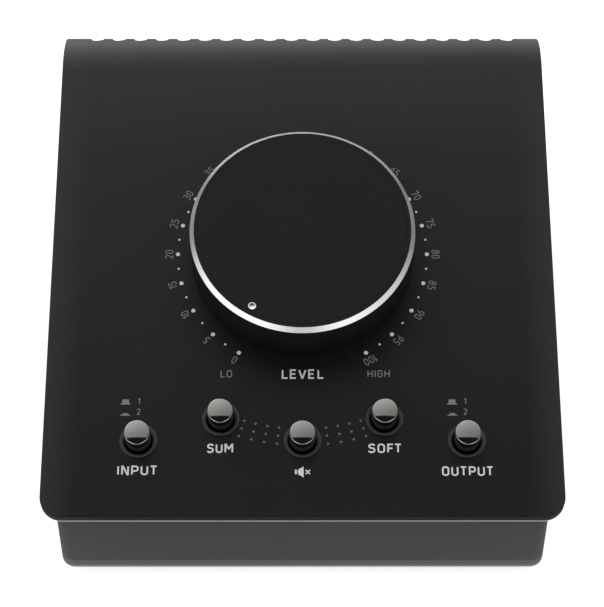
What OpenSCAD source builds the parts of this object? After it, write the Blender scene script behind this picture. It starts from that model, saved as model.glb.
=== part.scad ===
// Desktop studio monitor controller: a sloping painted steel cover with a slotted rear bend,
// a pressed steel tray under it, a large volume knob and five push buttons on the top,
// and eight quarter-inch jack sockets on the rear panel.
// Millimetres. Origin: on the table, under the middle of the body. X right, Y back, Z up.

/* [Cover] */
// Width of the cover plate
cover_w = 120; // [116:1:140]
// Length of the flat top, from its front edge to the rear bend
cover_flat_l = 119; // [116:1:130]
// Thickness of the cover plate
cover_t = 3.2; // [2.5:0.1:3.6]
// Slope of the top, falling towards the front
slope = 15; // [13:0.5:17]
// Radius of the cover's two front corners, seen from above
cover_corner_r = 5; // [2:0.5:8]
// Outer radius of the rear bend
rear_bend_r = 15; // [13:0.5:17]
// Length of the upright leg below the rear bend
rear_leg_l = 5; // [4:0.5:7]
// Height of the cover's front top edge above the underside of the tray
front_h = 27.6; // [26:0.2:34]

/* [Vent slots] */
// Number of slots along the rear bend
vent_count = 20; // [4:2:20]
// Distance of the outermost slots from the cover's sides
vent_side = 7.75; // [7:0.25:9]
// Width of a slot
vent_w = 3.1; // [1.6:0.1:3.6]
// Angle round the bend at which the slots begin
vent_start_a = 44; // [30:1:60]
// Plate left between a slot's lower end and the bottom of the leg
vent_margin = 2.4; // [1.5:0.1:3]

/* [Tray] */
// How far the tray's side walls stand in from the cover's sides
side_inset = 3; // [2:0.5:5]
// How far the tray's front wall stands back from the cover's front edge
front_inset = 3.4; // [2:0.2:6]
// Thickness of the tray's sheet
tray_t = 1.5; // [1:0.1:2]
// Outer radius of the tray's bends
tray_bend_r = 3; // [2.2:0.1:4]
// Width of the tray's two upright rear flanges
rear_flange_w = 8; // [6.5:0.5:8.5]

/* [Rear panel] */
// Thickness of the rear panel
panel_t = 1.5; // [1:0.1:2]
// Gap between the rear panel and the cover's leg in front of it
panel_gap = 0.3; // [0.2:0.1:0.6]
// How far the rear panel reaches up behind the leg
panel_tuck = 4; // [2:0.5:5]
// Clearance round the bushings in the panel's holes
panel_hole_gap = 0.15; // [0.1:0.05:0.3]

/* [Feet] */
// Height of a rubber foot
foot_h = 2; // [1.8:0.1:4]
// Diameter of a rubber foot where it meets the tray
foot_d = 13; // [8:0.5:16]
// Distance of the feet from the sides of the tray
foot_side = 16; // [16:0.5:27]
// Distance of the feet from the ends of the tray
foot_end = 14; // [11:0.5:16]

/* [Volume knob] */
// Distance of the knob's axis from the rear bend, along the slope
knob_back = 52.4; // [51:0.1:54]
// Outer diameter of the knob
knob_d = 53; // [46:0.5:56]
// Height of the knob's top face above the cover
knob_top_h = 13.6; // [12.5:0.1:16]
// Gap between the knob's skirt and the cover
knob_skirt_gap = 0.8; // [0.4:0.1:1.2]
// Width of the bright chamfer round the knob's top
knob_chamfer = 1; // [0.6:0.1:1.5]
// Wall thickness of the knob's skirt
knob_wall = 2.2; // [1.9:0.1:3]
// Thickness of the knob's top
knob_web = 2.2; // [1.8:0.1:2.4]
// Diameter of the pointer dot
pointer_d = 1.9; // [1:0.1:2.4]
// Distance of the pointer dot from the knob's axis
pointer_r = 23.2; // [15:0.1:23.2]
// Angle of the pointer at rest, clockwise from the far side
pointer_rest_a = -150; // [-150:1:150]
// Outer diameter of the brass sleeve in the knob
sleeve_d = 9; // [7.5:0.1:10]
// Wall of the boss round the brass sleeve
boss_wall = 2; // [1.5:0.1:3]

/* [Volume control] */
// Diameter of the shaft
shaft_d = 6; // [5.8:0.05:6.2]
// Running clearance round the shaft
shaft_gap = 0.05; // [0.03:0.01:0.1]
// Outer diameter of the threaded bushing
bushing_d = 9; // [8.4:0.1:10]
// Height of the bushing above the cover
bushing_h = 3.6; // [3.2:0.1:3.8]
// Thickness of the washer on the cover
washer_t = 0.6; // [0.3:0.1:0.8]
// Thickness of the nut
nut_t = 2.2; // [1.6:0.1:2.4]
// Width of the nut across its flats
nut_af = 12; // [11.5:0.5:13]
// Diameter of the control's round can
pot_d = 17; // [16:0.5:20]

/* [Buttons] */
// Distance of the front row of three buttons from the cover's front edge
button_v = 18.8; // [18:0.1:20]
// How much further back the inner pair of buttons sits
button_rise = 5.4; // [4:0.1:7]
// Distance of the outermost buttons from the cover's sides
button_side = 22.1; // [21:0.1:26]
// Diameter of a button cap
cap_d = 6.06; // [5.4:0.02:6.3]
// Gap round a cap in its hole
cap_gap = 0.3; // [0.15:0.05:0.5]
// Height of the cap's rim above the cover, button out
cap_rim_h = 3.7; // [3.3:0.1:5]
// Rise of the cap's domed end above its rim
cap_dome_h = 1.4; // [0.6:0.1:1.8]
// Travel of a button
button_travel = 2.5; // [1.5:0.1:2.6]
// Diameter of the countersink round a button
sink_d = 8.4; // [7.6:0.1:9]
// Depth of the countersink round a button
sink_depth = 0.6; // [0.3:0.1:1]
// Width of the square housing of a push switch
switch_w = 8.5; // [7.5:0.1:9]
// Width of the square plunger of a push switch
plunger_w = 3.3; // [3.1:0.1:3.8]
// Clearance on each side of the plunger
plunger_gap = 0.12; // [0.08:0.01:0.2]

/* [Boards] */
// Thickness of the circuit boards
board_t = 1.6; // [1:0.1:2]
// Distance between the cover's underside and the control board
board_drop = 14.3; // [13.5:0.1:14.6]
// Gap between the control board's sides and the brackets' flanges
board_side_gap = 0.7; // [0.4:0.1:2]
// Where the control board begins, from the cover's front edge
board_v0 = 7.5; // [6:0.5:8]
// Board left behind the row of capacitors
board_margin = 5.85; // [5:0.05:6.5]
// Diameter of a capacitor's can
can_d = 6.3; // [5:0.1:8]
// Gap between the volume control's can and the row of capacitors
can_gap = 4.75; // [3:0.25:5]
// Diameter of the spacers that hold the control board
spacer_d = 5.5; // [5:0.1:6]
// Diameter of the machine screws
screw_d = 3; // [2.5:0.1:3]
// Clearance round a screw in its hole
screw_gap = 0.05; // [0.03:0.01:0.1]

/* [Jack sockets] */
// Distance upwards from row to row
jack_pitch_z = 17.5; // [16.5:0.1:18]
// Height of the lower row above the underside of the tray
jack_z = 11; // [10.5:0.1:12]
// Gap between the outermost sockets and the tray's rear flange
jack_side_gap = 2.25; // [1.5:0.25:3]
// Width and height of a socket's body
jack_w = 15.5; // [14:0.5:16]
// Length of a socket's body behind the panel
jack_l = 28; // [27.5:0.5:29]
// Diameter of the hole that takes a quarter-inch plug
jack_bore_d = 6.5; // [6.4:0.02:6.54]
// Depth of that hole from the bushing's mouth
jack_bore_l = 31; // [30.5:0.1:31.2]
// Diameter of a socket's threaded bushing
jack_bushing_d = 9.5; // [9:0.1:10.5]
// Thickness of the washers on the sockets
jack_washer_t = 0.5; // [0.3:0.1:0.6]
// Thickness of the nuts on the sockets
jack_nut_t = 2; // [1.6:0.1:2.2]
// Width of those nuts across their flats
jack_nut_af = 13; // [12.5:0.5:14]

/* [Power inlet] */
// Gap between the inlet's outer flange and the tray's rear flange
inlet_side_gap = 3.8; // [3:0.1:5]
// Diameter of the inlet's barrel
inlet_d = 10; // [9:0.1:11]
// Diameter of the inlet's outer flange
inlet_flange_d = 12.4; // [12:0.1:14]
// Diameter of the hole that takes the power plug
inlet_bore_d = 5.6; // [5.5:0.1:6.4]
// Diameter of the inlet's centre pin
inlet_pin_d = 2; // [1.6:0.1:2.5]
// Length of the inlet's barrel behind the panel
inlet_l = 12; // [11:0.5:14]

/* [Hidden] */
$fn = 72;
// How far a cutter runs past the face that it opens
over = 1;

// Places of the cover in the object's frame
depth = cover_flat_l * cos(slope) + rear_bend_r * sin(slope) + rear_bend_r;
front_y = -depth / 2;
rear_y = depth / 2;
tray_z = foot_h;
front_z = tray_z + front_h;
bend_y = front_y + cover_flat_l * cos(slope) + rear_bend_r * sin(slope);
bend_z = front_z + cover_flat_l * sin(slope) - rear_bend_r * cos(slope);
bend_turn = 90 + slope;
bend_inner_r = rear_bend_r - cover_t;
leg_z = bend_z - rear_leg_l;
// Radius of the leg's two lower corners, which leaves a short straight edge below the bend
leg_corner_r = min(cover_corner_r, rear_leg_l - 0.5);
// How far a flat stays inside the round that it runs into, so that they meet in one clean line
merge = 0.0002;

// Distance from slot to slot
vent_pitch = (cover_w - 2 * vent_side) / (vent_count - 1);

// Places of the tray and the rear panel
tray_w = cover_w - 2 * side_inset;
tray_y0 = front_y + front_inset;
panel_y = rear_y - cover_t - panel_gap;
tray_y1 = panel_y - panel_t;
bend_x = tray_w / 2 - tray_bend_r;
floor_z = tray_z + tray_t;
panel_top_z = leg_z + panel_tuck;

// Side brackets between the tray's floor and the cover
bracket_t = 1.5;
bracket_gap = 0.3;
bracket_x = tray_w / 2 - tray_t - bracket_gap;
bracket_flange_w = 11.5;
bracket_bend_r = 2.5;
bracket_front = 12;
bracket_l = 72;
bracket_y0 = tray_y0 + bracket_front;
bracket_y1 = bracket_y0 + bracket_l;
// Where the bracket's top flange begins and ends along the slope
flange_lead = 1;
flange_setback = 4;
bracket_v0 = (bracket_y0 - front_y) / cos(slope) - flange_lead;
bracket_v1 = (bracket_y1 - front_y) / cos(slope) - flange_setback;

// Machine screws
screw_r = screw_d / 2;
screw_hole_r = screw_r + screw_gap;
head_r = screw_d * 0.93;
head_h = screw_d * 0.6;
sink_head_h = tray_t - 0.1;
thread_l = 5.5;
cover_screw_x = bracket_x - bracket_flange_w * 0.55;
cover_screw_front = 12;
cover_screw_back = 8;
cover_screw_ys = [bracket_y0 + cover_screw_front, bracket_y1 - cover_screw_back];
panel_screw_x = (bend_x + tray_w / 2 - rear_flange_w) / 2;
panel_screw_low = 8;
panel_screw_rise = 22;
panel_screw_zs = [tray_z + panel_screw_low, tray_z + panel_screw_low + panel_screw_rise];

// Distance of the knob's axis from the cover's front edge, along the slope
knob_v = cover_flat_l - knob_back;

// Levels over the sloping cover, its top face being zero
under_h = -cover_t;
board_h = under_h - board_drop;
bushing_r = bushing_d / 2;
shaft_bore_r = shaft_d / 2 + shaft_gap;
boss_h0 = bushing_h + 0.8;
web_h = knob_top_h - knob_web;
knob_r = knob_d / 2;
ring_depth = knob_chamfer + 1;
ring_w = 1.9;
pointer_depth = 1;
flat_depth = 1;

// The volume control's inside: a wiper disc that turns in the can
can_top_h = under_h - 1.5;
can_bottom_h = board_h + 1.5;
wiper_r = pot_d / 2 - 2.2;
wiper_t = 1.5;
wiper_gap = 0.3;
wiper_h = can_bottom_h + 2 + wiper_gap;
rotor_room_h = wiper_h + wiper_t + 4;

// Push buttons, in the order source, mono, mute, dim, speaker
button_pitch = (cover_w / 2 - button_side) / 2;
button_us = [-2 * button_pitch, -button_pitch, 0, button_pitch, 2 * button_pitch];
button_vs = [button_v, button_v + button_rise, button_v, button_v + button_rise, button_v];
cap_r = cap_d / 2;
cap_hole_r = cap_r + cap_gap;
cap_dome_r = (cap_r * cap_r + cap_dome_h * cap_dome_h) / (2 * cap_dome_h);
switch_top_h = under_h - button_travel - 0.5;
stem_w = plunger_w - 0.6;
stem_gap = 0.02;
stem_top_h = 1.9;
shoulder_h = switch_top_h + 0.7;
plunger_bottom_h = board_h + button_travel + 2;

// Control board, its row of capacitors and the spacers at its corners
board_w = 2 * (bracket_x - bracket_flange_w - board_side_gap);
can_r = can_d / 2;
can_v = knob_v + pot_d / 2 + can_gap + can_r;
board_v1 = can_v + can_r + board_margin;
spacer_end = 3.5;
spacer_us = [-board_w / 2 + spacer_end, board_w / 2 - spacer_end];
spacer_vs = [board_v0 + spacer_end, board_v1 - spacer_end];

// Jack sockets and the board that carries them
jack_columns = 4;
jack_x0 = tray_w / 2 - rear_flange_w - jack_side_gap - jack_w / 2;
inlet_x = tray_w / 2 - rear_flange_w - inlet_side_gap - inlet_flange_d / 2;
jack_pitch_x = (jack_x0 + inlet_x) / jack_columns;
jack_xs = [for (i = [0:jack_columns - 1]) jack_x0 - i * jack_pitch_x];
jack_row_zs = [tray_z + jack_z + jack_pitch_z, tray_z + jack_z];
jack_mouth_y = panel_y + jack_washer_t + jack_nut_t + 0.5;
jack_board_y = tray_y1 - jack_l;
jack_board_w = tray_w - 2 * rear_flange_w;
jack_board_z0 = floor_z + 0.5;
jack_board_z1 = jack_row_zs[0] + jack_w / 2 + 1;

// Power inlet
inlet_z = tray_z + jack_z;
inlet_nut_t = 1.8;
inlet_flange_t = 1.5;
lead_r = 0.6;
lead_dx = 2.6;
lug_l = 3;

// Flat cable from the control board to the jack board
cable_w = 22;
cable_t = 0.9;
cable_r = 4;
socket_l = 6;
socket_w = 6;
socket_rim = 1.5;
socket_body_w = cable_w + 2 * socket_rim;
socket_top_back = 39;
socket_top_v = cover_flat_l - socket_top_back;
cable_start = [
    front_y + socket_top_v * cos(slope) - (board_h - board_t - socket_l) * sin(slope),
    front_z + socket_top_v * sin(slope) + (board_h - board_t - socket_l) * cos(slope)
];
cable_end_rise = 9;
cable_end = [jack_board_y - board_t - socket_l, floor_z + cable_end_rise];
cable_turn = 90 - slope;
cable_drop = cable_start[1] - cable_end[1] - cable_r * (1 - sin(slope));
cable_run = cable_drop / cos(slope);
cable_tail = cable_end[0] - cable_start[0] - cable_run * sin(slope) - cable_r * cos(slope);

// Moves children onto the sloping cover: u to the right, v up the slope, h out of the face
module on_cover(u = 0, v = 0, h = 0) {
    translate([0, front_y, front_z]) rotate([slope, 0, 0]) translate([u, v, h]) children();
}

// Lays a flat drawing in the side plane: its x along Y, its y along Z, centred on x
module side_slab(width, x = 0) {
    translate([x - width / 2, 0, 0]) rotate([90, 0, 90]) linear_extrude(width) children();
}

// A cylinder along +Y
module rod_y(x, y, z, r, length) {
    translate([x, y, z]) rotate([-90, 0, 0]) cylinder(h = length, r = r);
}

// A hexagonal nut standing on the plane z = 0, bore along Z
module hex_nut(across_flats, thickness, hole_r) {
    difference() {
        cylinder(h = thickness, r = across_flats / sqrt(3), $fn = 6);
        translate([0, 0, -over]) cylinder(h = thickness + 2 * over, r = hole_r);
    }
}

// ---------------------------------------------------------------- cover

// The plate seen from the side: sloping flat, rear bend and upright leg
module cover_profile() {
    reach = 3 * rear_bend_r;
    outer_h = rear_bend_r - merge;
    inner_h = bend_inner_r - merge;
    translate([bend_y, bend_z]) difference() {
        union() {
            rotate(slope) translate([-cover_flat_l, 0]) square([cover_flat_l, outer_h]);
            circle(rear_bend_r);
            translate([0, -reach]) square([outer_h, reach]);
        }
        circle(bend_inner_r);
        rotate(slope) translate([-cover_flat_l - over, -reach])
            square([cover_flat_l + over, reach + inner_h]);
        translate([-reach, -reach]) square([reach + inner_h, reach]);
        translate([-reach, -reach - over]) square([2 * reach, reach + over - rear_leg_l]);
    }
}

// What a rounded corner takes away in the lower right quarter of a flat drawing
module corner_cutter(corner_r) {
    difference() {
        translate([0, -corner_r - over]) square(corner_r + over);
        circle(corner_r);
    }
}

// One vent slot: straight sides across the bend and the leg, round ends
module vent_cutter() {
    slot_r = vent_w / 2;
    inner = bend_inner_r - over;
    outer = rear_bend_r + over;
    start_a = bend_turn - vent_start_a - asin(slot_r / rear_bend_r);
    low_z = vent_margin + slot_r - rear_leg_l;
    side_slab(vent_w - 2 * merge) translate([bend_y, bend_z]) polygon([
        [0, 0], [outer * cos(start_a), outer * sin(start_a)],
        [2 * outer, outer * sin(start_a)], [2 * outer, low_z], [0, low_z]
    ]);
    translate([0, bend_y, bend_z]) rotate([start_a - 90, 0, 0])
        translate([0, 0, inner]) cylinder(h = outer - inner, r = slot_r);
    rod_y(0, bend_y + inner, bend_z + low_z, slot_r, outer - inner);
}

// Round hole with a countersink for a button cap
module button_hole() {
    sink_r = sink_d / 2;
    translate([0, 0, under_h - over]) cylinder(h = cover_t + 2 * over, r = cap_hole_r);
    translate([0, 0, -sink_depth]) cylinder(h = sink_depth, r1 = cap_hole_r, r2 = sink_r);
    cylinder(h = over, r = sink_r);
}

module top_cover() {
    color("#242629") difference() {
        side_slab(cover_w) cover_profile();
        for (i = [0:vent_count - 1])
            translate([(i - (vent_count - 1) / 2) * vent_pitch, 0, 0]) vent_cutter();
        for (side = [0, 1]) mirror([side, 0, 0]) {
            translate([0, bend_y, bend_z]) rotate([slope, 0, 0])
                translate([cover_w / 2 - cover_corner_r, cover_corner_r - cover_flat_l, bend_inner_r - over])
                    linear_extrude(cover_t + 2 * over) corner_cutter(cover_corner_r);
            translate([cover_w / 2 - leg_corner_r, bend_y + rear_bend_r + over, bend_z])
                rotate([90, 0, 0]) translate([0, leg_corner_r - rear_leg_l])
                    linear_extrude(cover_t + 2 * over) corner_cutter(leg_corner_r);
        }
        for (i = [0:4]) on_cover(button_us[i], button_vs[i]) button_hole();
        on_cover(0, knob_v, under_h - over)
            cylinder(h = cover_t + 2 * over, r = bushing_r + panel_hole_gap);
    }
}

// ---------------------------------------------------------------- tray

// All the space below the inside of the cover, seen from the side
module under_cover_plan() {
    reach = 10;
    start_y = front_y - reach;
    start_z = front_z - reach * tan(slope) - cover_t / cos(slope);
    polygon([
        [start_y, 0], [start_y, start_z],
        [bend_y - bend_inner_r * sin(slope), bend_z + bend_inner_r * cos(slope)],
        [bend_y, bend_z], [bend_y, 0]
    ]);
    translate([bend_y, bend_z]) circle(bend_inner_r);
    translate([bend_y - over, 0]) square([bend_inner_r + over, bend_z]);
}

// Section through a pressed edge: a quarter bend at the bottom and the wall above it
module wall_section(height) {
    translate([tray_bend_r - tray_t, tray_bend_r]) square([tray_t, height - tray_bend_r]);
    intersection() {
        square(tray_bend_r);
        translate([0, tray_bend_r]) difference() {
            circle(tray_bend_r);
            circle(tray_bend_r - tray_t);
        }
    }
}

// The tray's walls at full height, before their tops are cut to the cover
module tray_walls(height) {
    bend_y0 = tray_y0 + tray_bend_r;
    bend_y1 = tray_y1 - tray_bend_r;
    for (side = [0, 1]) mirror([side, 0, 0]) {
        translate([bend_x, bend_y1, tray_z]) rotate([90, 0, 0])
            linear_extrude(bend_y1 - bend_y0) wall_section(height);
        translate([bend_x, bend_y0, tray_z]) rotate([0, 0, -90])
            rotate_extrude(angle = 90) wall_section(height);
        translate([bend_x, tray_y1, tray_z]) rotate([90, 0, 0])
            linear_extrude(tray_bend_r) intersection() {
                wall_section(height);
                square(tray_bend_r);
            }
        translate([bend_x, bend_y1, tray_z + tray_bend_r])
            rotate_extrude(angle = 90)
                translate([tray_bend_r - tray_t, 0]) square([tray_t, height - tray_bend_r]);
        translate([tray_w / 2 - rear_flange_w, tray_y1 - tray_t, tray_z + tray_bend_r])
            cube([rear_flange_w - tray_bend_r, tray_t, height - tray_bend_r]);
    }
    translate([-bend_x, bend_y0, tray_z]) rotate([90, 0, 90]) mirror([1, 0, 0])
        linear_extrude(2 * bend_x) wall_section(height);
}

// Countersunk hole through the tray's floor
module floor_hole(x, y) {
    translate([x, y, tray_z - over]) cylinder(h = tray_t + 2 * over, r = screw_hole_r);
    translate([x, y, tray_z])
        cylinder(h = sink_head_h, r1 = head_r + screw_gap, r2 = screw_hole_r);
    translate([x, y, tray_z - over]) cylinder(h = over, r = head_r + screw_gap);
}

module base_tray() {
    color("#3f4143") difference() {
        union() {
            intersection() {
                tray_walls(bend_z + rear_bend_r);
                side_slab(cover_w) under_cover_plan();
            }
            translate([-bend_x, tray_y0 + tray_bend_r, tray_z])
                cube([2 * bend_x, tray_y1 - tray_y0 - tray_bend_r, tray_t]);
        }
        for (side = [-1, 1]) {
            for (y = cover_screw_ys) floor_hole(side * cover_screw_x, y);
            for (z = panel_screw_zs)
                rod_y(side * panel_screw_x, tray_y1 - tray_t - over, z, screw_hole_r, tray_t + 2 * over);
        }
    }
}

// Outline of the rear panel from behind: square above, the tray's bend radius below
module rear_panel_plan() {
    translate([-tray_w / 2, tray_bend_r]) square([tray_w, panel_top_z - tray_z - tray_bend_r]);
    translate([-bend_x, 0]) square([2 * bend_x, 2 * tray_bend_r]);
    for (side = [-1, 1]) translate([side * bend_x, tray_bend_r]) circle(tray_bend_r);
}

module rear_panel() {
    hole_r = jack_bushing_d / 2 + panel_hole_gap;
    cut_l = panel_t + 2 * over;
    color("#2b2d2f") difference() {
        translate([0, panel_y, tray_z]) rotate([90, 0, 0]) linear_extrude(panel_t) rear_panel_plan();
        for (x = jack_xs) for (z = jack_row_zs) rod_y(x, tray_y1 - over, z, hole_r, cut_l);
        rod_y(-inlet_x, tray_y1 - over, inlet_z, inlet_d / 2 + panel_hole_gap, cut_l);
        for (side = [-1, 1]) for (z = panel_screw_zs)
            rod_y(side * panel_screw_x, tray_y1 - over, z, screw_hole_r, cut_l);
    }
}

// Right-hand bracket: floor flange, upright web and a top flange along the slope
module side_bracket() {
    inner_r = bracket_bend_r - bracket_t;
    color("#9a9c9e") difference() {
        union() {
            side_slab(bracket_t, bracket_x - bracket_t / 2) intersection() {
                under_cover_plan();
                translate([bracket_y0, floor_z + bracket_bend_r])
                    square([bracket_y1 - bracket_y0, bend_z]);
                translate([front_y, front_z]) rotate(slope)
                    translate([-over, under_h - bend_z - bracket_bend_r]) square([2 * depth, bend_z]);
            }
            translate([0, bracket_y1, 0]) rotate([90, 0, 0]) linear_extrude(bracket_y1 - bracket_y0) {
                translate([bracket_x - bracket_flange_w, floor_z])
                    square([bracket_flange_w - bracket_bend_r, bracket_t]);
                translate([bracket_x - bracket_bend_r, floor_z + bracket_bend_r]) intersection() {
                    translate([0, -bracket_bend_r]) square(bracket_bend_r);
                    difference() {
                        circle(bracket_bend_r);
                        circle(inner_r);
                    }
                }
            }
            on_cover(0, bracket_v1, under_h) rotate([90, 0, 0]) linear_extrude(bracket_v1 - bracket_v0) {
                translate([bracket_x - bracket_flange_w, -bracket_t])
                    square([bracket_flange_w - bracket_bend_r, bracket_t]);
                translate([bracket_x - bracket_bend_r, -bracket_bend_r]) intersection() {
                    square(bracket_bend_r);
                    difference() {
                        circle(bracket_bend_r);
                        circle(inner_r);
                    }
                }
            }
        }
        for (y = cover_screw_ys)
            translate([cover_screw_x, y, floor_z - over]) cylinder(h = bracket_t + 2 * over, r = screw_hole_r);
    }
}

module bracket_right() {
    side_bracket();
}

module bracket_left() {
    mirror([1, 0, 0]) side_bracket();
}

// Countersunk screws that come up through the tray's floor into the brackets
module cover_screws() {
    shank_l = tray_t + bracket_t + 1.5;
    color("#6f7173") for (side = [-1, 1]) for (y = cover_screw_ys)
        translate([side * cover_screw_x, y, tray_z]) {
            difference() {
                cylinder(h = sink_head_h, r1 = head_r, r2 = screw_r);
                translate([0, 0, -over]) cylinder(h = over + 0.8, r = screw_r * 0.6, $fn = 6);
            }
            translate([0, 0, sink_head_h]) cylinder(h = shank_l - sink_head_h, r = screw_r);
        }
}

// Pan-head screws through the rear panel into the tray's flanges
module panel_screws() {
    shank_l = panel_t + tray_t + 1.5;
    color("#2a2a2c") for (side = [-1, 1]) for (z = panel_screw_zs) difference() {
        union() {
            rod_y(side * panel_screw_x, panel_y, z, head_r, head_h);
            rod_y(side * panel_screw_x, panel_y - shank_l, z, screw_r, shank_l);
        }
        translate([side * panel_screw_x, panel_y + head_h + over, z]) rotate([90, 0, 0])
            cylinder(h = over + 1, r = screw_r * 0.6, $fn = 6);
    }
}

// ---------------------------------------------------------------- feet

module rubber_foot(side_x, side_y) {
    y = side_y < 0 ? tray_y0 + foot_end : tray_y1 - foot_end;
    color("#1b1b1c") translate([side_x * (tray_w / 2 - foot_side), y, 0])
        cylinder(h = foot_h, r1 = foot_d / 2 - 0.5, r2 = foot_d / 2);
}

module foot_front_left() {
    rubber_foot(-1, -1);
}

module foot_front_right() {
    rubber_foot(1, -1);
}

module foot_rear_left() {
    rubber_foot(-1, 1);
}

module foot_rear_right() {
    rubber_foot(1, 1);
}

// ---------------------------------------------------------------- control board

module control_board() {
    color("#1f5b3a") on_cover(0, 0, board_h - board_t) difference() {
        translate([-board_w / 2, board_v0, 0]) cube([board_w, board_v1 - board_v0, board_t]);
        for (u = spacer_us) for (v = spacer_vs)
            translate([u, v, -over]) cylinder(h = board_t + 2 * over, r = screw_hole_r);
    }
}

// Spacers that hang from the cover and carry the board
module control_spacers() {
    color("#b9bbbd") for (u = spacer_us) for (v = spacer_vs) on_cover(u, v, board_h) difference() {
        cylinder(h = board_drop, r = spacer_d / 2);
        translate([0, 0, -over]) cylinder(h = over + thread_l + 1.5, r = screw_hole_r);
    }
}

module control_screws() {
    color("#c6c8ca") for (u = spacer_us) for (v = spacer_vs) on_cover(u, v, board_h - board_t) {
        difference() {
            translate([0, 0, -head_h]) cylinder(h = head_h, r = head_r);
            translate([0, 0, -head_h - over]) cylinder(h = over + 1, r = screw_r * 0.6, $fn = 6);
        }
        cylinder(h = board_t + thread_l, r = screw_r);
    }
}

// Four dual in-line amplifier chips on the board, legs down both long sides
module amp_chips() {
    chip_l = 9.6;
    chip_w = 6.3;
    chip_h = 3.3;
    chip_pitch = 17;
    chip_v = 42;
    leg_h = 1.2;
    leg_w = 0.5;
    leg_t = 0.6;
    leg_pitch = 2.54;
    color("#151516") for (i = [0:3]) on_cover((i - 1.5) * chip_pitch, chip_v, board_h) {
        translate([-chip_l / 2, -chip_w / 2, leg_h]) cube([chip_l, chip_w, chip_h]);
        for (side = [-1, 1]) for (leg = [0:3])
            translate([(leg - 1.5) * leg_pitch - leg_w / 2, side * (chip_w - leg_t) / 2 - leg_t / 2, 0])
                cube([leg_w, leg_t, leg_h + over]);
    }
}

// Upright electrolytic capacitors, with the bead near the foot of the can
module capacitors() {
    can_h = 10.8;
    can_pitch = 10.5;
    bead_z = 1.6;
    bead_h = 0.8;
    bead_depth = 0.3;
    color("#22252c") for (i = [0:5]) on_cover((i - 2.5) * can_pitch, can_v, board_h) {
        cylinder(h = bead_z, r = can_r);
        translate([0, 0, bead_z]) cylinder(h = bead_h, r = can_r - bead_depth);
        translate([0, 0, bead_z + bead_h]) cylinder(h = can_h - bead_z - bead_h, r = can_r);
    }
}

// ---------------------------------------------------------------- jack board

module jack_board() {
    color("#1f5b3a") translate([-jack_board_w / 2, jack_board_y - board_t, jack_board_z0])
        cube([jack_board_w, board_t, jack_board_z1 - jack_board_z0]);
}

// Voltage regulator on the jack board: moulded body and a drilled metal tab
module regulator() {
    case_w = 10.2;
    case_t = 4.5;
    case_h = 9.2;
    tab_t = 1.3;
    tab_h = 6.4;
    tab_hole_r = 1.8;
    regulator_rise = 14;
    color("#3a3b3d") translate([-inlet_x, jack_board_y - board_t, jack_board_z0 + regulator_rise]) {
        translate([-case_w / 2, -case_t, 0]) cube([case_w, case_t, case_h]);
        difference() {
            translate([-case_w / 2, -tab_t, case_h]) cube([case_w, tab_t, tab_h]);
            translate([0, over, case_h + tab_h / 2]) rotate([90, 0, 0])
                cylinder(h = 2 * over + tab_t, r = tab_hole_r);
        }
    }
}

module ribbon_socket_top() {
    color("#1c1d1f") on_cover(0, socket_top_v, board_h - board_t - socket_l)
        translate([-socket_body_w / 2, -socket_w / 2, 0]) cube([socket_body_w, socket_w, socket_l]);
}

module ribbon_socket_rear() {
    color("#1c1d1f") translate([-socket_body_w / 2, cable_end[0], cable_end[1] - socket_w / 2])
        cube([socket_body_w, socket_l, socket_w]);
}

// Flat cable: straight down out of the upper socket, one bend, straight into the rear one
module ribbon_cable() {
    color("#8e9194") side_slab(cable_w) {
        translate(cable_start) rotate(-cable_turn) {
            translate([0, -cable_t / 2]) square([cable_run, cable_t]);
            translate([cable_run, cable_r]) intersection() {
                difference() {
                    circle(cable_r + cable_t / 2);
                    circle(cable_r - cable_t / 2);
                }
                polygon([
                    [0, 0], [0, -2 * cable_r],
                    [2 * cable_r * tan(cable_turn / 2), -2 * cable_r],
                    [2 * cable_r * sin(cable_turn), -2 * cable_r * cos(cable_turn)]
                ]);
            }
        }
        translate([cable_end[0] - cable_tail, cable_end[1] - cable_t / 2]) square([cable_tail, cable_t]);
    }
}

// ---------------------------------------------------------------- volume control

module pot_body() {
    lug_pitch = 5;
    lug_w = 1.2;
    lug_t = 1.6;
    stand_w = 8;
    stand_t = 2;
    lug_h = can_bottom_h - board_h + over;
    color("#a4a7aa") on_cover(0, knob_v, 0) difference() {
        union() {
            translate([0, 0, can_bottom_h]) cylinder(h = can_top_h - can_bottom_h, r = pot_d / 2);
            translate([-pot_d / 2, -pot_d / 2, can_top_h])
                cube([pot_d, pot_d, under_h - can_top_h]);
            for (i = [-1, 0, 1]) translate([i * lug_pitch - lug_w / 2, 0.4 - pot_d / 2, board_h])
                cube([lug_w, lug_t, lug_h]);
            translate([-stand_w / 2, 3, board_h]) cube([stand_w, stand_t, lug_h]);
        }
        translate([0, 0, wiper_h - wiper_gap])
            cylinder(h = rotor_room_h - wiper_h + wiper_gap, r = wiper_r + wiper_gap);
        translate([0, 0, rotor_room_h - over])
            cylinder(h = under_h - rotor_room_h + 2 * over, r = shaft_bore_r);
    }
}

module pot_bushing() {
    color("#c2a860") on_cover(0, knob_v, under_h) difference() {
        cylinder(h = cover_t + bushing_h, r = bushing_r);
        translate([0, 0, -over]) cylinder(h = cover_t + bushing_h + 2 * over, r = shaft_bore_r);
    }
}

module pot_washer() {
    color("#c6c8ca") on_cover(0, knob_v, 0) difference() {
        cylinder(h = washer_t, r = nut_af / 2 + 1);
        translate([0, 0, -over]) cylinder(h = washer_t + 2 * over, r = bushing_r + screw_gap);
    }
}

module pot_nut() {
    color("#c6c8ca") on_cover(0, knob_v, washer_t) hex_nut(nut_af, nut_t, bushing_r + screw_gap);
}

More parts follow.
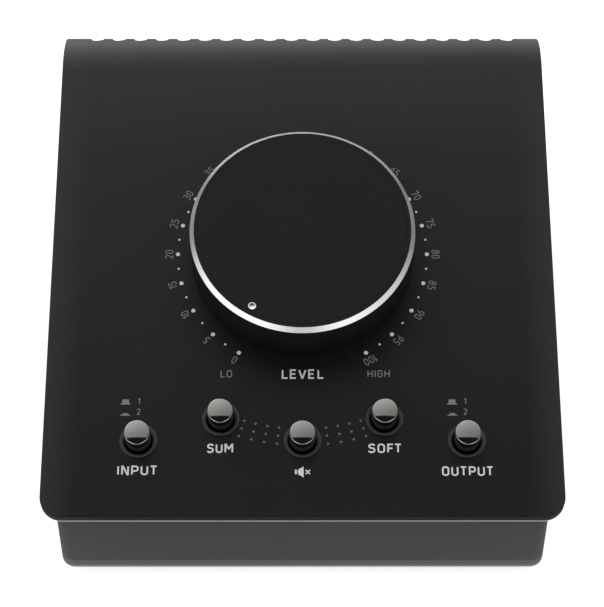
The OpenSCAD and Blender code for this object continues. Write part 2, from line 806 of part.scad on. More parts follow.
// Half-plane beyond the shaft's flat, as a cutter
module shaft_flat(h0, h1, gap = 0) {
    translate([-shaft_d, shaft_d / 2 - flat_depth + gap, h0]) cube([2 * shaft_d, shaft_d, h1 - h0]);
}

// Shaft with the wiper disc that turns inside the can, and the flat that drives the knob
module pot_shaft() {
    top_h = web_h - 0.3;
    color("#d0d2d4") on_cover(0, knob_v, 0) rotate([0, 0, -pointer_rest_a]) difference() {
        union() {
            translate([0, 0, wiper_h]) cylinder(h = top_h - wiper_h, r = shaft_d / 2);
            translate([0, 0, wiper_h]) cylinder(h = wiper_t, r = wiper_r);
        }
        shaft_flat(boss_h0 - 0.2, top_h + over);
    }
}

// ---------------------------------------------------------------- knob

module knob_body() {
    skirt_h = knob_top_h - knob_skirt_gap;
    boss_r = sleeve_d / 2 + boss_wall;
    seat_r = knob_r - ring_w;
    color("#18191b") on_cover(0, knob_v, 0) rotate([0, 0, -pointer_rest_a]) difference() {
        union() {
            difference() {
                translate([0, 0, knob_skirt_gap]) cylinder(h = skirt_h, r = knob_r);
                translate([0, 0, knob_skirt_gap - over])
                    cylinder(h = web_h - knob_skirt_gap + over, r = knob_r - knob_wall);
            }
            translate([0, 0, boss_h0]) cylinder(h = web_h - boss_h0 + 0.5, r = boss_r);
        }
        translate([0, 0, boss_h0 - over]) cylinder(h = web_h - boss_h0 + over, r = sleeve_d / 2);
        translate([0, 0, knob_top_h - ring_depth]) difference() {
            cylinder(h = ring_depth + over, r = knob_r + over);
            translate([0, 0, -over]) cylinder(h = ring_depth + 3 * over, r = seat_r);
        }
        translate([0, pointer_r, knob_top_h - pointer_depth])
            cylinder(h = pointer_depth + over, r = pointer_d / 2);
    }
}

// Bright trim ring with its 45 degree chamfer, seated in a step round the knob's top
module knob_ring() {
    color("#d8dadc") on_cover(0, knob_v, knob_top_h - ring_depth) difference() {
        union() {
            cylinder(h = ring_depth - knob_chamfer, r = knob_r);
            translate([0, 0, ring_depth - knob_chamfer])
                cylinder(h = knob_chamfer, r1 = knob_r, r2 = knob_r - knob_chamfer);
        }
        translate([0, 0, -over]) cylinder(h = ring_depth + 2 * over, r = knob_r - ring_w);
    }
}

// Pointer: a bright pin in the knob's top with a shallow dished end
module knob_pointer() {
    dish_r = 1.6;
    dish = 0.2;
    color("#d8dadc") on_cover(0, knob_v, 0) rotate([0, 0, -pointer_rest_a])
        translate([0, pointer_r, knob_top_h]) difference() {
            translate([0, 0, -pointer_depth]) cylinder(h = pointer_depth, r = pointer_d / 2);
            translate([0, 0, dish_r - dish]) sphere(r = dish_r);
        }
}

// Brass sleeve in the knob's boss, its bore flat on one side like the shaft
module knob_sleeve() {
    color("#b8974a") on_cover(0, knob_v, 0) rotate([0, 0, -pointer_rest_a]) difference() {
        translate([0, 0, boss_h0]) cylinder(h = web_h - boss_h0, r = sleeve_d / 2);
        difference() {
            translate([0, 0, boss_h0 - over]) cylinder(h = web_h - boss_h0 + 2 * over, r = shaft_d / 2 + 0.02);
            shaft_flat(boss_h0 - 2 * over, web_h + 2 * over, 0.02);
        }
    }
}

// ---------------------------------------------------------------- buttons

// Domed cap: cylinder and spherical end over a square socket for the stem
module button_cap(i) {
    color("#2c2c2e") on_cover(button_us[i], button_vs[i]) difference() {
        union() {
            translate([0, 0, under_h]) cylinder(h = cap_rim_h - under_h, r = cap_r);
            intersection() {
                translate([0, 0, cap_rim_h + cap_dome_h - cap_dome_r]) sphere(r = cap_dome_r);
                translate([0, 0, cap_rim_h - 0.5]) cylinder(h = cap_dome_h + over, r = cap_r);
            }
        }
        well_w = stem_w + 2 * stem_gap;
        translate([-well_w / 2, -well_w / 2, under_h - over])
            cube([well_w, well_w, stem_top_h + stem_gap - under_h + over]);
    }
}

// Square plunger with the narrower stem that carries the cap
module switch_plunger(i) {
    color("#e4e2dc") on_cover(button_us[i], button_vs[i]) {
        translate([-plunger_w / 2, -plunger_w / 2, plunger_bottom_h])
            cube([plunger_w, plunger_w, shoulder_h - plunger_bottom_h]);
        translate([-stem_w / 2, -stem_w / 2, shoulder_h - over])
            cube([stem_w, stem_w, stem_top_h - shoulder_h + over]);
    }
}

// Push-switch housing on the board, with the square well that guides the plunger
module switch_housing(i) {
    well_w = plunger_w + 2 * plunger_gap;
    well_h = plunger_bottom_h - button_travel - 0.3;
    collar_w = switch_w - 1.4;
    collar_h = 2.2;
    color("#46484c") on_cover(button_us[i], button_vs[i]) difference() {
        union() {
            translate([-switch_w / 2, -switch_w / 2, board_h])
                cube([switch_w, switch_w, switch_top_h - collar_h - board_h]);
            translate([-collar_w / 2, -collar_w / 2, switch_top_h - collar_h - over])
                cube([collar_w, collar_w, collar_h + over]);
        }
        translate([-well_w / 2, -well_w / 2, well_h]) cube([well_w, well_w, switch_top_h - well_h + over]);
    }
}

// ---------------------------------------------------------------- jack sockets

// Quarter-inch socket: square body, stepped nose, threaded bushing and one deep bore
module jack(column, row) {
    x = jack_xs[column];
    z = jack_row_zs[row];
    nose_l = 4;
    body_w = jack_w - 1.5;
    color("#1a1a1b") difference() {
        union() {
            translate([x - jack_w / 2, tray_y1 - nose_l, z - jack_w / 2]) cube([jack_w, nose_l, jack_w]);
            translate([x - body_w / 2, jack_board_y, z - body_w / 2])
                cube([body_w, jack_l - nose_l + 0.5, body_w]);
            rod_y(x, tray_y1 - over, z, jack_bushing_d / 2, jack_mouth_y - tray_y1 + over);
        }
        rod_y(x, jack_mouth_y - jack_bore_l, z, jack_bore_d / 2, jack_bore_l + over);
    }
}

module each_jack() {
    for (x = jack_xs) for (z = jack_row_zs) translate([x, panel_y, z]) children();
}

module jack_washers() {
    color("#bfc1c3") each_jack() rotate([-90, 0, 0]) difference() {
        cylinder(h = jack_washer_t, r = jack_nut_af / 2);
        translate([0, 0, -over])
            cylinder(h = jack_washer_t + 2 * over, r = jack_bushing_d / 2 + screw_gap);
    }
}

module jack_nuts() {
    color("#bfc1c3") each_jack() rotate([-90, 0, 0]) translate([0, 0, jack_washer_t])
        hex_nut(jack_nut_af, jack_nut_t, jack_bushing_d / 2 + screw_gap);
}

// ---------------------------------------------------------------- power inlet

// Round panel inlet: flange outside, barrel through the panel, centre pin and two rear lugs
module inlet_body() {
    mouth_y = panel_y + inlet_flange_t;
    well_l = 9.5;
    color("#1a1a1b") {
        difference() {
            union() {
                rod_y(-inlet_x, panel_y, inlet_z, inlet_flange_d / 2, inlet_flange_t);
                rod_y(-inlet_x, tray_y1 - inlet_l, inlet_z, inlet_d / 2, inlet_l + panel_t + 0.5);
            }
            rod_y(-inlet_x, mouth_y - well_l, inlet_z, inlet_bore_d / 2, well_l + over);
        }
        rod_y(-inlet_x, mouth_y - well_l - over, inlet_z, inlet_pin_d / 2, well_l);
        for (side = [-1, 1])
            translate([side * lead_dx - inlet_x - 1, tray_y1 - inlet_l - lug_l, inlet_z - 0.4])
                cube([2, lug_l + 1, 0.8]);
    }
}

module inlet_nut() {
    color("#bfc1c3") translate([-inlet_x, tray_y1 - inlet_nut_t, inlet_z]) rotate([-90, 0, 0])
        hex_nut(inlet_d + 3, inlet_nut_t, inlet_d / 2 + screw_gap);
}

// The two short wires from the inlet's lugs to the board
module inlet_leads() {
    start_y = tray_y1 - inlet_l - lug_l;
    color("#a02a20") for (side = [-1, 1])
        rod_y(side * lead_dx - inlet_x, jack_board_y, inlet_z, lead_r, start_y - jack_board_y);
}

top_cover();
base_tray();
rear_panel();
bracket_left();
bracket_right();
cover_screws();
panel_screws();
foot_front_left();
foot_front_right();
foot_rear_left();
foot_rear_right();
control_board();
control_spacers();
control_screws();
amp_chips();
capacitors();
jack_board();
regulator();
ribbon_cable();
ribbon_socket_top();
ribbon_socket_rear();
pot_body();
pot_bushing();
pot_washer();
pot_nut();
pot_shaft();
knob_body();
knob_ring();
knob_pointer();
knob_sleeve();
button_cap(0);  // source_cap
button_cap(1);  // mono_cap
button_cap(2);  // mute_cap
button_cap(3);  // dim_cap
button_cap(4);  // speaker_cap
switch_plunger(0);  // source_plunger
switch_plunger(1);  // mono_plunger
switch_plunger(2);  // mute_plunger
switch_plunger(3);  // dim_plunger
switch_plunger(4);  // speaker_plunger
switch_housing(0);  // source_switch
switch_housing(1);  // mono_switch
switch_housing(2);  // mute_switch
switch_housing(3);  // dim_switch
switch_housing(4);  // speaker_switch
jack(0, 0);  // jack_upper_1
jack(1, 0);  // jack_upper_2
jack(2, 0);  // jack_upper_3
jack(3, 0);  // jack_upper_4
jack(0, 1);  // jack_lower_1
jack(1, 1);  // jack_lower_2
jack(2, 1);  // jack_lower_3
jack(3, 1);  // jack_lower_4
jack_washers();
jack_nuts();
inlet_body();
inlet_nut();
inlet_leads();
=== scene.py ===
"""Looks of a desktop studio monitor controller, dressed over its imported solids."""
import logging
import math
from dataclasses import dataclass, field
from enum import Enum

import bmesh
import bpy
from mathutils import Matrix, Vector


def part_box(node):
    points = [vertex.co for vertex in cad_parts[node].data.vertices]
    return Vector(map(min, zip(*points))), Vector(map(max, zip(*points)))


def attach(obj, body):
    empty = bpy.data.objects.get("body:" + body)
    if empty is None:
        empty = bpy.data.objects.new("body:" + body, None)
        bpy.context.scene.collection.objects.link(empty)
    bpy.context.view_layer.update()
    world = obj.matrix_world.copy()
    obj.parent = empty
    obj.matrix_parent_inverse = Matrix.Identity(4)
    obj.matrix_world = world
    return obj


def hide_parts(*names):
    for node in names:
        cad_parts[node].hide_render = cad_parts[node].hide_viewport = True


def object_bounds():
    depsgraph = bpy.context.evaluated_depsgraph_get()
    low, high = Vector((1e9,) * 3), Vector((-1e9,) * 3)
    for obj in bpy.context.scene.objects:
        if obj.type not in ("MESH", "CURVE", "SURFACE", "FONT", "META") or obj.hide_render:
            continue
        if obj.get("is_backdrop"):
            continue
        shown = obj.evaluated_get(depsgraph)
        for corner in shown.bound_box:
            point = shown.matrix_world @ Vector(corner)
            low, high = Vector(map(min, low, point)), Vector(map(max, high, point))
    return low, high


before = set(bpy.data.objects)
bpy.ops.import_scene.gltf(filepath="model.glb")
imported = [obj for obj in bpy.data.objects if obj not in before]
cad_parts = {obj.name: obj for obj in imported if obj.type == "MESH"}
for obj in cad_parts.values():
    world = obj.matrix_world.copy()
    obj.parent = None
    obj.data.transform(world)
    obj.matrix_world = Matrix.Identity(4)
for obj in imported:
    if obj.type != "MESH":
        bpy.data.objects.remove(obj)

BMesh = bmesh.types.BMesh
BMVert = bmesh.types.BMVert
BMEdge = bmesh.types.BMEdge
Socket = bpy.types.NodeSocket
Point = tuple[float, float, float]
RGB = tuple[float, float, float]
Outline = list[tuple[float, float]]
Placed = tuple[BMesh, Matrix]
# Where a change starts and ends, and its levels at the two ends
Span = tuple[float, float, float, float]

LOG = logging.getLogger("monitor_controller")
MM = 0.001
TO_METRES = Matrix.Scale(MM, 4)
IN_PLACE = Matrix.Identity(4)
# Faces larger than this are flat ones and are shaded so, in square metres
FLAT_AREA = 200e-6
# Faces that meet at less than this are one flat face, in radians
LEVEL_ANGLE = 0.003
# Over how many such faces in a row the flat shading spreads
LEVEL_REACH = 4
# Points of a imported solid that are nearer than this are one, in millimetres
WELD = 0.004
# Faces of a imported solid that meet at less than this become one, in radians
MERGE_ANGLE = math.radians(0.6)


# ------------------------------------------------------------------ places


@dataclass(frozen=True)
class CoverPlane:
    """The cover's sloping top face: u to the right, v up the slope, h out of it, in millimetres."""

    slope: float = math.radians(15.0)
    front_y: float = -66.9137
    front_z: float = 29.6

    @property
    def normal(self) -> Vector:
        """The direction out of the plane."""
        return Vector((0.0, -math.sin(self.slope), math.cos(self.slope)))

    @property
    def uphill(self) -> Vector:
        """The direction up the slope."""
        return Vector((0.0, math.cos(self.slope), math.sin(self.slope)))

    def at(self, u: float, v: float, h: float = 0.0, turn: float = 0.0) -> Matrix:
        """Place of something that stands on the cover.

        Args:
            u: Distance to the right of the middle, in millimetres.
            v: Distance up the slope from the front edge, in millimetres.
            h: Height over the cover, in millimetres.
            turn: Turn about the cover's normal, counter-clockwise, in radians.

        Returns:
            A matrix that takes millimetres on the piece to metres in the object's frame.
        """
        base = Matrix.Translation((0.0, self.front_y * MM, self.front_z * MM))
        tilt = Matrix.Rotation(self.slope, 4, "X")
        spot = Matrix.Translation((u * MM, v * MM, h * MM))
        return base @ tilt @ spot @ Matrix.Rotation(turn, 4, "Z") @ TO_METRES


def facing_back(x: float, y: float, z: float, turn: float = 0.0) -> Matrix:
    """Place of something on the rear panel.

    Args:
        x: Place along X, in millimetres.
        y: Place along Y, in millimetres.
        z: Height, in millimetres.
        turn: Turn about the axis that points backwards, in radians.

    Returns:
        A matrix that takes millimetres on the piece, its own z pointing back and its y up, to metres.
    """
    basis = Matrix(((-1, 0, 0, 0), (0, 0, 1, 0), (0, 1, 0, 0), (0, 0, 0, 1)))
    spot = Matrix.Translation((x * MM, y * MM, z * MM))
    return spot @ basis @ Matrix.Rotation(turn, 4, "Z") @ TO_METRES


PLANE = CoverPlane()
# Place of the knob's axis up the slope, and of the rear panel's outer face, in millimetres
KNOB_V = 66.6
PANEL_Y = 63.4137
# Push buttons: name, place to the right and place up the slope, in millimetres
BUTTONS = (
    ("source", -37.9, 18.8), ("mono", -18.95, 24.2), ("mute", 0.0, 18.8), ("dim", 18.95, 24.2),
    ("speaker", 37.9, 18.8),
)


# ------------------------------------------------------------------ mesh tools


def wire(bm: BMesh, points: list[Point], closed: bool = False) -> tuple[list[BMVert], list[BMEdge]]:
    """Draws a line of edges through points.

    Args:
        bm: The mesh that they go into.
        points: The points, in order.
        closed: Whether the last point is joined to the first.

    Returns:
        The new corners and edges.
    """
    verts = [bm.verts.new(point) for point in points]
    pairs = list(zip(verts, verts[1:]))
    if closed:
        pairs.append((verts[-1], verts[0]))
    return verts, [bm.edges.new(pair) for pair in pairs]


def corners(made: dict[str, list]) -> list[BMVert]:
    """The corners among the things that an operator made."""
    return [item for item in made["geom"] if isinstance(item, BMVert)]


def spin_solid(profile: Outline, steps: int = 96) -> BMesh:
    """Turns a profile about the z axis into a closed solid.

    Args:
        profile: Points (radius, height) in order; it starts and ends on the axis or runs round a ring.
        steps: Number of steps in the full turn.

    Returns:
        The solid, its doubles merged and its faces pointing outwards.
    """
    bm = bmesh.new()
    verts, edges = wire(bm, [(r, 0.0, h) for r, h in profile], profile[0][0] > 0)
    bmesh.ops.spin(
        bm, geom=verts + edges, cent=(0, 0, 0), axis=(0, 0, 1), angle=math.tau, steps=steps, use_merge=True
    )
    bmesh.ops.remove_doubles(bm, verts=bm.verts, dist=1e-5)
    bmesh.ops.recalc_face_normals(bm, faces=bm.faces)
    return bm


def outline_solid(points: Outline, low: float, high: float) -> BMesh:
    """Pulls a flat outline up into a closed plate.

    Args:
        points: The outline's corners, counter-clockwise.
        low: Height of the lower face.
        high: Height of the upper face.

    Returns:
        The plate.
    """
    bm = bmesh.new()
    face = bm.faces.new([bm.verts.new((x, y, low)) for x, y in points])
    made = bmesh.ops.extrude_face_region(bm, geom=[face])
    bmesh.ops.translate(bm, verts=corners(made), vec=(0, 0, high - low))
    bmesh.ops.recalc_face_normals(bm, faces=bm.faces)
    return bm


def disc_solid(radius: float, low: float, high: float, segments: int = 24) -> BMesh:
    """Makes a flat round plate about the z axis.

    Args:
        radius: Its radius.
        low: Height of the lower face.
        high: Height of the upper face.
        segments: Number of corners round it.

    Returns:
        The plate.
    """
    bm = bmesh.new()
    bmesh.ops.create_cone(
        bm, cap_ends=True, segments=segments, radius1=radius, radius2=radius, depth=high - low,
        matrix=Matrix.Translation((0, 0, (low + high) / 2)),
    )
    return bm


def round_edges(bm: BMesh, width: float, segments: int = 3, angle: float = 30.0) -> None:
    """Bevels every edge that is sharper than an angle.

    Args:
        bm: The mesh to change.
        width: Width of the bevel, in the mesh's own unit.
        segments: Number of steps across the bevel.
        angle: Least angle between the two faces, in degrees.
    """
    limit = math.radians(angle)
    sharp = [edge for edge in bm.edges if edge.calc_face_angle(0.0) > limit]
    bmesh.ops.bevel(
        bm, geom=sharp, offset=width, offset_type="OFFSET", segments=segments, profile=0.5,
        affect="EDGES", clamp_overlap=False, material=-1, loop_slide=True,
    )


def softened(node: str, width: float, segments: int = 3, angle: float = 30.0) -> BMesh:
    """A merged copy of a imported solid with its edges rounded, in millimetres.

    Args:
        node: Name of the solid's node.
        width: Width of the bevel, or 0 to leave the edges sharp.
        segments: Number of steps across the bevel.
        angle: Least angle of an edge that is rounded, in degrees.

    Returns:
        The copy, its flat areas joined into single faces.
    """
    bm = bmesh.new()
    bm.from_mesh(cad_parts[node].data)
    bmesh.ops.scale(bm, vec=(1 / MM, 1 / MM, 1 / MM), verts=bm.verts)
    bmesh.ops.remove_doubles(bm, verts=bm.verts, dist=WELD)
    bmesh.ops.dissolve_limit(
        bm, angle_limit=MERGE_ANGLE, use_dissolve_boundaries=False, verts=bm.verts, edges=bm.edges
    )
    if width:
        round_edges(bm, width, segments, angle)
    return bm


def to_mesh(name: str, bm: BMesh) -> bpy.types.Mesh:
    """Writes a bmesh into a new mesh.

    Args:
        name: Name of the mesh.
        bm: The bmesh; it is freed.

    Returns:
        The mesh.
    """
    mesh = bpy.data.meshes.new(name)
    bm.to_mesh(mesh)
    bm.free()
    return mesh


def into_scene(name: str, data: bpy.types.ID) -> bpy.types.Object:
    """Makes an object and links it to the scene.

    Args:
        name: Name of the object.
        data: Its mesh, lamp or camera.

    Returns:
        The object.
    """
    made = bpy.data.objects.new(name, data)
    bpy.context.scene.collection.objects.link(made)
    return made


def join(parts: list[Placed]) -> BMesh:
    """Puts several meshes, each at its own place, into one.

    Args:
        parts: Pairs of a mesh and its place. The meshes are freed.

    Returns:
        One mesh with all of them.
    """
    whole = bmesh.new()
    for bm, place in parts:
        bm.transform(place)
        mesh = to_mesh("part", bm)
        whole.from_mesh(mesh)
        bpy.data.meshes.remove(mesh)
    return whole


def thicken(bm: BMesh, thickness: float) -> BMesh:
    """Gives upright ribbons a thickness to both sides, with a Solidify modifier.

    Args:
        bm: The ribbons; they are freed.
        thickness: Their thickness.

    Returns:
        The closed walls.
    """
    mesh = to_mesh("ribbon", bm)
    holder = into_scene("ribbon", mesh)
    solid = holder.modifiers.new("solid", "SOLIDIFY")
    solid.thickness = thickness
    solid.offset = 0.0
    solid.use_even_offset = True
    walls = bpy.data.meshes.new_from_object(holder.evaluated_get(bpy.context.evaluated_depsgraph_get()))
    whole = bmesh.new()
    whole.from_mesh(walls)
    bpy.data.objects.remove(holder)
    for used in (mesh, walls):
        bpy.data.meshes.remove(used)
    bmesh.ops.recalc_face_normals(whole, faces=whole.faces)
    return whole


def make_piece(
    name: str, bm: BMesh, finishes: tuple[str, ...], place: Matrix = TO_METRES, slot: str = "",
    body: str = "chassis", replaces: tuple[str, ...] = (), smooth: float = 35.0,
) -> None:
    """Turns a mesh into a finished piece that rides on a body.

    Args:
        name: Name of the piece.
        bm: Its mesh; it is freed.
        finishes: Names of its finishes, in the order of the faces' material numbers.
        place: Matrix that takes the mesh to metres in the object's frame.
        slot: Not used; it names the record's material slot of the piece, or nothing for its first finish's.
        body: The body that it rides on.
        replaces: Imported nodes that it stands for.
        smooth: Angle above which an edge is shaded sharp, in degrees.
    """
    slot = slot or finishes[0]
    bm.transform(place)
    for face in bm.faces:
        face.smooth = face.calc_area() < FLAT_AREA
    level = [edge for edge in bm.edges if edge.calc_face_angle(math.pi) < LEVEL_ANGLE]
    for _ in range(LEVEL_REACH):
        for edge in level:
            first, second = edge.link_faces
            first.smooth = second.smooth = first.smooth and second.smooth
    limit = math.radians(smooth)
    for edge in bm.edges:
        edge.smooth = edge.calc_face_angle(math.pi) < limit
    mesh = to_mesh(name, bm)
    for finish in finishes:
        mesh.materials.append(PAINTS[finish])
    piece = into_scene(name, mesh)
    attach(piece, body)
    if replaces:
        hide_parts(*replaces)
    LOG.info("%s: %d faces on %s", name, len(mesh.polygons), body)


def dress(node: str, slot: str) -> None:
    """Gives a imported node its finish, in the object's own material slots.

    Args:
        node: Name of the node.
        slot: Name of the finish.
    """
    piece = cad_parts[node]
    if not piece.data.materials:
        piece.data.materials.append(PAINTS[slot])
    for place in piece.material_slots:
        place.material = PAINTS[slot]


# ------------------------------------------------------------------ shared effects


class Graph:
    """A small helper that adds nodes to a node tree and joins them."""

    def __init__(self, tree: bpy.types.NodeTree) -> None:
        """Keeps the tree that the nodes go into."""
        self.tree = tree

    def feed(self, value: object, target: Socket) -> None:
        """Gives an input its value.

        Args:
            value: An output to join to it, or a plain value to write into it.
            target: The input.
        """
        if isinstance(value, Socket):
            self.tree.links.new(value, target)
        else:
            target.default_value = value

    def fill(self, node: bpy.types.Node, **values: object) -> bpy.types.Node:
        """Sets up a node.

        Args:
            node: The node.
            values: Properties of the node, and what feeds its inputs, by their name with _ for spaces.

        Returns:
            The same node.
        """
        for key, value in values.items():
            if hasattr(node, key):
                setattr(node, key, value)
            else:
                self.feed(value, node.inputs[key.replace("_", " ")])
        return node

    def add(self, kind: str, **values: object) -> bpy.types.Node:
        """Adds a node of a type, by Blender's name of it, and sets it up as fill does."""
        return self.fill(self.tree.nodes.new(kind), **values)

    def math(self, operation: str, *values: object) -> Socket:
        """Adds a Math node.

        Args:
            operation: Blender's name of what it does.
            values: Sockets or numbers that it works on.

        Returns:
            Its output.
        """
        node = self.add("ShaderNodeMath", operation=operation)
        for value, target in zip(values, node.inputs):
            self.feed(value, target)
        return node.outputs[0]

    def span(self, value: Socket, low: float, high: float, start: float = 0.0, end: float = 1.0) -> Socket:
        """Adds a Map Range node that takes low..high to start..end, and returns its output."""
        ends = {"From_Min": low, "From_Max": high, "To_Min": start, "To_Max": end}
        return self.add("ShaderNodeMapRange", clamp=True, Value=value, **ends).outputs["Result"]

    def noise(self, scale: object, detail: float, roughness: float = 0.5, **values: object) -> Socket:
        """Adds a Noise Texture node at the Vector or W among the values, and returns its level."""
        node = self.add("ShaderNodeTexNoise", Scale=scale, Detail=detail, Roughness=roughness, **values)
        return node.outputs[0]

    def mix(self, share: Socket, first: object, second: object) -> Socket:
        """Adds a mix of two levels.

        Args:
            share: Share of the second level.
            first: A socket or a number.
            second: A socket or a number.

        Returns:
            The mixed level.
        """
        node = self.add("ShaderNodeMix", data_type="FLOAT")
        for value, number in ((share, 0), (first, 2), (second, 3)):
            self.feed(value, node.inputs[number])
        return node.outputs[0]

    def blend(self, share: Socket, first: object, second: object) -> Socket:
        """Adds a mix of two colours.

        Args:
            share: Share of the second colour.
            first: A socket or a colour.
            second: A socket or a colour.

        Returns:
            The mixed colour.
        """
        node = self.add("ShaderNodeMix", data_type="RGBA")
        self.feed(share, node.inputs[0])
        for value, target in ((first, node.inputs[6]), (second, node.inputs[7])):
            self.feed(value if isinstance(value, Socket) else (*value, 1.0), target)
        return node.outputs[2]


def new_group(name: str, inputs: dict[str, float], *outputs: str) -> tuple[Graph, object, object]:
    """Starts a shader node group that takes a place on the piece as its Vector.

    Args:
        name: Name of the group.
        inputs: Its float inputs and their defaults.
        outputs: Names of its float outputs.

    Returns:
        A helper on the group, the sockets to read its inputs from, and the sockets that feed its outputs.
    """
    tree = bpy.data.node_groups.new(name, "ShaderNodeTree")
    tree.interface.new_socket("Vector", in_out="INPUT", socket_type="NodeSocketVector")
    for key, value in inputs.items():
        tree.interface.new_socket(key, in_out="INPUT", socket_type="NodeSocketFloat").default_value = value
    for key in outputs:
        tree.interface.new_socket(key, in_out="OUTPUT", socket_type="NodeSocketFloat")
    g = Graph(tree)
    return g, g.add("NodeGroupInput").outputs, g.add("NodeGroupOutput").inputs


class Effects:
    """Node groups that several finishes share, each built once."""

    # How closely the turned lines lie on a side, as a share of those on a flat face
    SIDE_LINES = 0.7
    # Scale of the place along each axis, which draws the streaks out along x
    DRAWN = (0.04, 1.0, 1.0)
    # Sharpness of an edge from which it is worn, and the noise that breaks the wear up
    WORN_EDGE: Span = (0.52, 0.62, 0.0, 1.0)
    WORN_PATCH: Span = (0.35, 0.6, 0.3, 1.0)
    # Noise that makes specks and a film of dust, the film's scale, and the share of each
    SPECK: Span = (0.66, 0.76, 0.0, 1.0)
    FILM: Span = (0.35, 0.8, 0.1, 0.5)
    FILM_SCALE = 60.0
    SPECK_SHARE = 0.8
    FILM_SHARE = 0.25

    def __init__(self) -> None:
        """Builds all the groups."""
        self.grain = self._grain()
        self.turning = self._turning()
        self.brushing = self._brushing()
        self.wear = self._wear()
        self.dust = self._dust()

    def _grain(self) -> bpy.types.NodeTree:
        """Fine pebbled grain of a powder coat or a moulded face: Height and a slow Cloud.

        Returns:
            The group.
        """
        g, start, end = new_group("fine_grain", {"Scale": 2500.0, "Slow Scale": 40.0}, "Height", "Cloud")
        place = start["Vector"]
        fine = g.noise(start["Scale"], 3.0, 0.55, Vector=place)
        pebble = g.add(
            "ShaderNodeTexVoronoi", feature="SMOOTH_F1", Vector=place, Scale=start["Scale"], Smoothness=0.6
        )
        g.feed(g.math("MULTIPLY_ADD", pebble.outputs["Distance"], 0.5, fine), end["Height"])
        g.feed(g.noise(start["Slow Scale"], 4.0, 0.6, Vector=place), end["Cloud"])
        return g.tree

    def _turning(self) -> bpy.types.NodeTree:
        """Fine concentric lines of a turned face about the vector's z axis: Height.

        Returns:
            The group.
        """
        g, start, end = new_group("turning_lines", {"Pitch": 9000.0}, "Height")
        x, y, z = g.add("ShaderNodeSeparateXYZ", Vector=start["Vector"]).outputs
        radius = g.math("SQRT", g.math("ADD", g.math("POWER", x, 2.0), g.math("POWER", y, 2.0)))
        along = g.math("ADD", radius, g.math("MULTIPLY", z, self.SIDE_LINES))
        turns = g.math("MULTIPLY", along, start["Pitch"])
        g.feed(g.noise(1.0, 2.0, 0.6, noise_dimensions="1D", W=turns), end["Height"])
        return g.tree

    def _brushing(self) -> bpy.types.NodeTree:
        """Short drawn streaks along x of rolled or plated sheet: Height.

        Returns:
            The group.
        """
        g, start, end = new_group("drawn_streaks", {"Scale": 3000.0}, "Height")
        drawn = g.add("ShaderNodeMapping", Scale=self.DRAWN, Vector=start["Vector"]).outputs[0]
        g.feed(g.noise(start["Scale"], 3.0, 0.6, Vector=drawn), end["Height"])
        return g.tree

    def _wear(self) -> bpy.types.NodeTree:
        """Rubbed convex edges, broken up by noise: Mask.

        Returns:
            The group.
        """
        g, start, end = new_group("edge_wear", {"Amount": 0.5, "Scale": 400.0}, "Mask")
        edge = g.span(g.add("ShaderNodeNewGeometry").outputs["Pointiness"], *self.WORN_EDGE)
        patch = g.span(g.noise(start["Scale"], 4.0, 0.65, Vector=start["Vector"]), *self.WORN_PATCH)
        g.feed(g.math("MULTIPLY", g.math("MULTIPLY", edge, patch), start["Amount"]), end["Mask"])
        return g.tree

    def _dust(self) -> bpy.types.NodeTree:
        """Sparse fine specks and a thin film: Mask.

        Returns:
            The group.
        """
        g, start, end = new_group("dust_specks", {"Amount": 0.5, "Scale": 900.0}, "Mask")
        speck = g.span(g.noise(start["Scale"], 2.0, Vector=start["Vector"]), *self.SPECK)
        film = g.span(g.noise(self.FILM_SCALE, 3.0, Vector=start["Vector"]), *self.FILM)
        shares = g.math("MULTIPLY", speck, self.SPECK_SHARE), g.math("MULTIPLY", film, self.FILM_SHARE)
        g.feed(g.math("MULTIPLY", g.math("MAXIMUM", *shares), start["Amount"]), end["Mask"])
        return g.tree


EFFECTS = Effects()


# ------------------------------------------------------------------ finishes


class Relief(Enum):
    """Which fine relief a finish has."""

    GRAIN = "grain"
    TURNED = "turned"
    DRAWN = "drawn"


def grey(level: float) -> RGB:
    """A colour without a hue."""
    return level, level, level


@dataclass(frozen=True)
class Fade:
    """A painted light or shade that sets in along a direction, from nothing at `gone` to all of it at
    `full`, in metres.
    """

    axis: Point
    gone: float
    full: float
    color: RGB
    both_sides: bool = False

    def apply(self, g: Graph, place: Socket, color: Socket) -> Socket:
        """Lays the colour over another one.

        Args:
            g: The material's graph.
            place: Place on the piece.
            color: The colour below.

        Returns:
            The mixed colour.
        """
        along = g.add("ShaderNodeVectorMath", operation="DOT_PRODUCT")
        g.feed(place, along.inputs[0])
        g.feed(self.axis, along.inputs[1])
        value = along.outputs["Value"]
        if self.both_sides:
            value = g.math("ABSOLUTE", value)
        low, high = sorted((self.gone, self.full))
        ends = (0.0, 1.0) if self.full > self.gone else (1.0, 0.0)
        return g.blend(g.span(value, low, high, *ends), color, self.color)


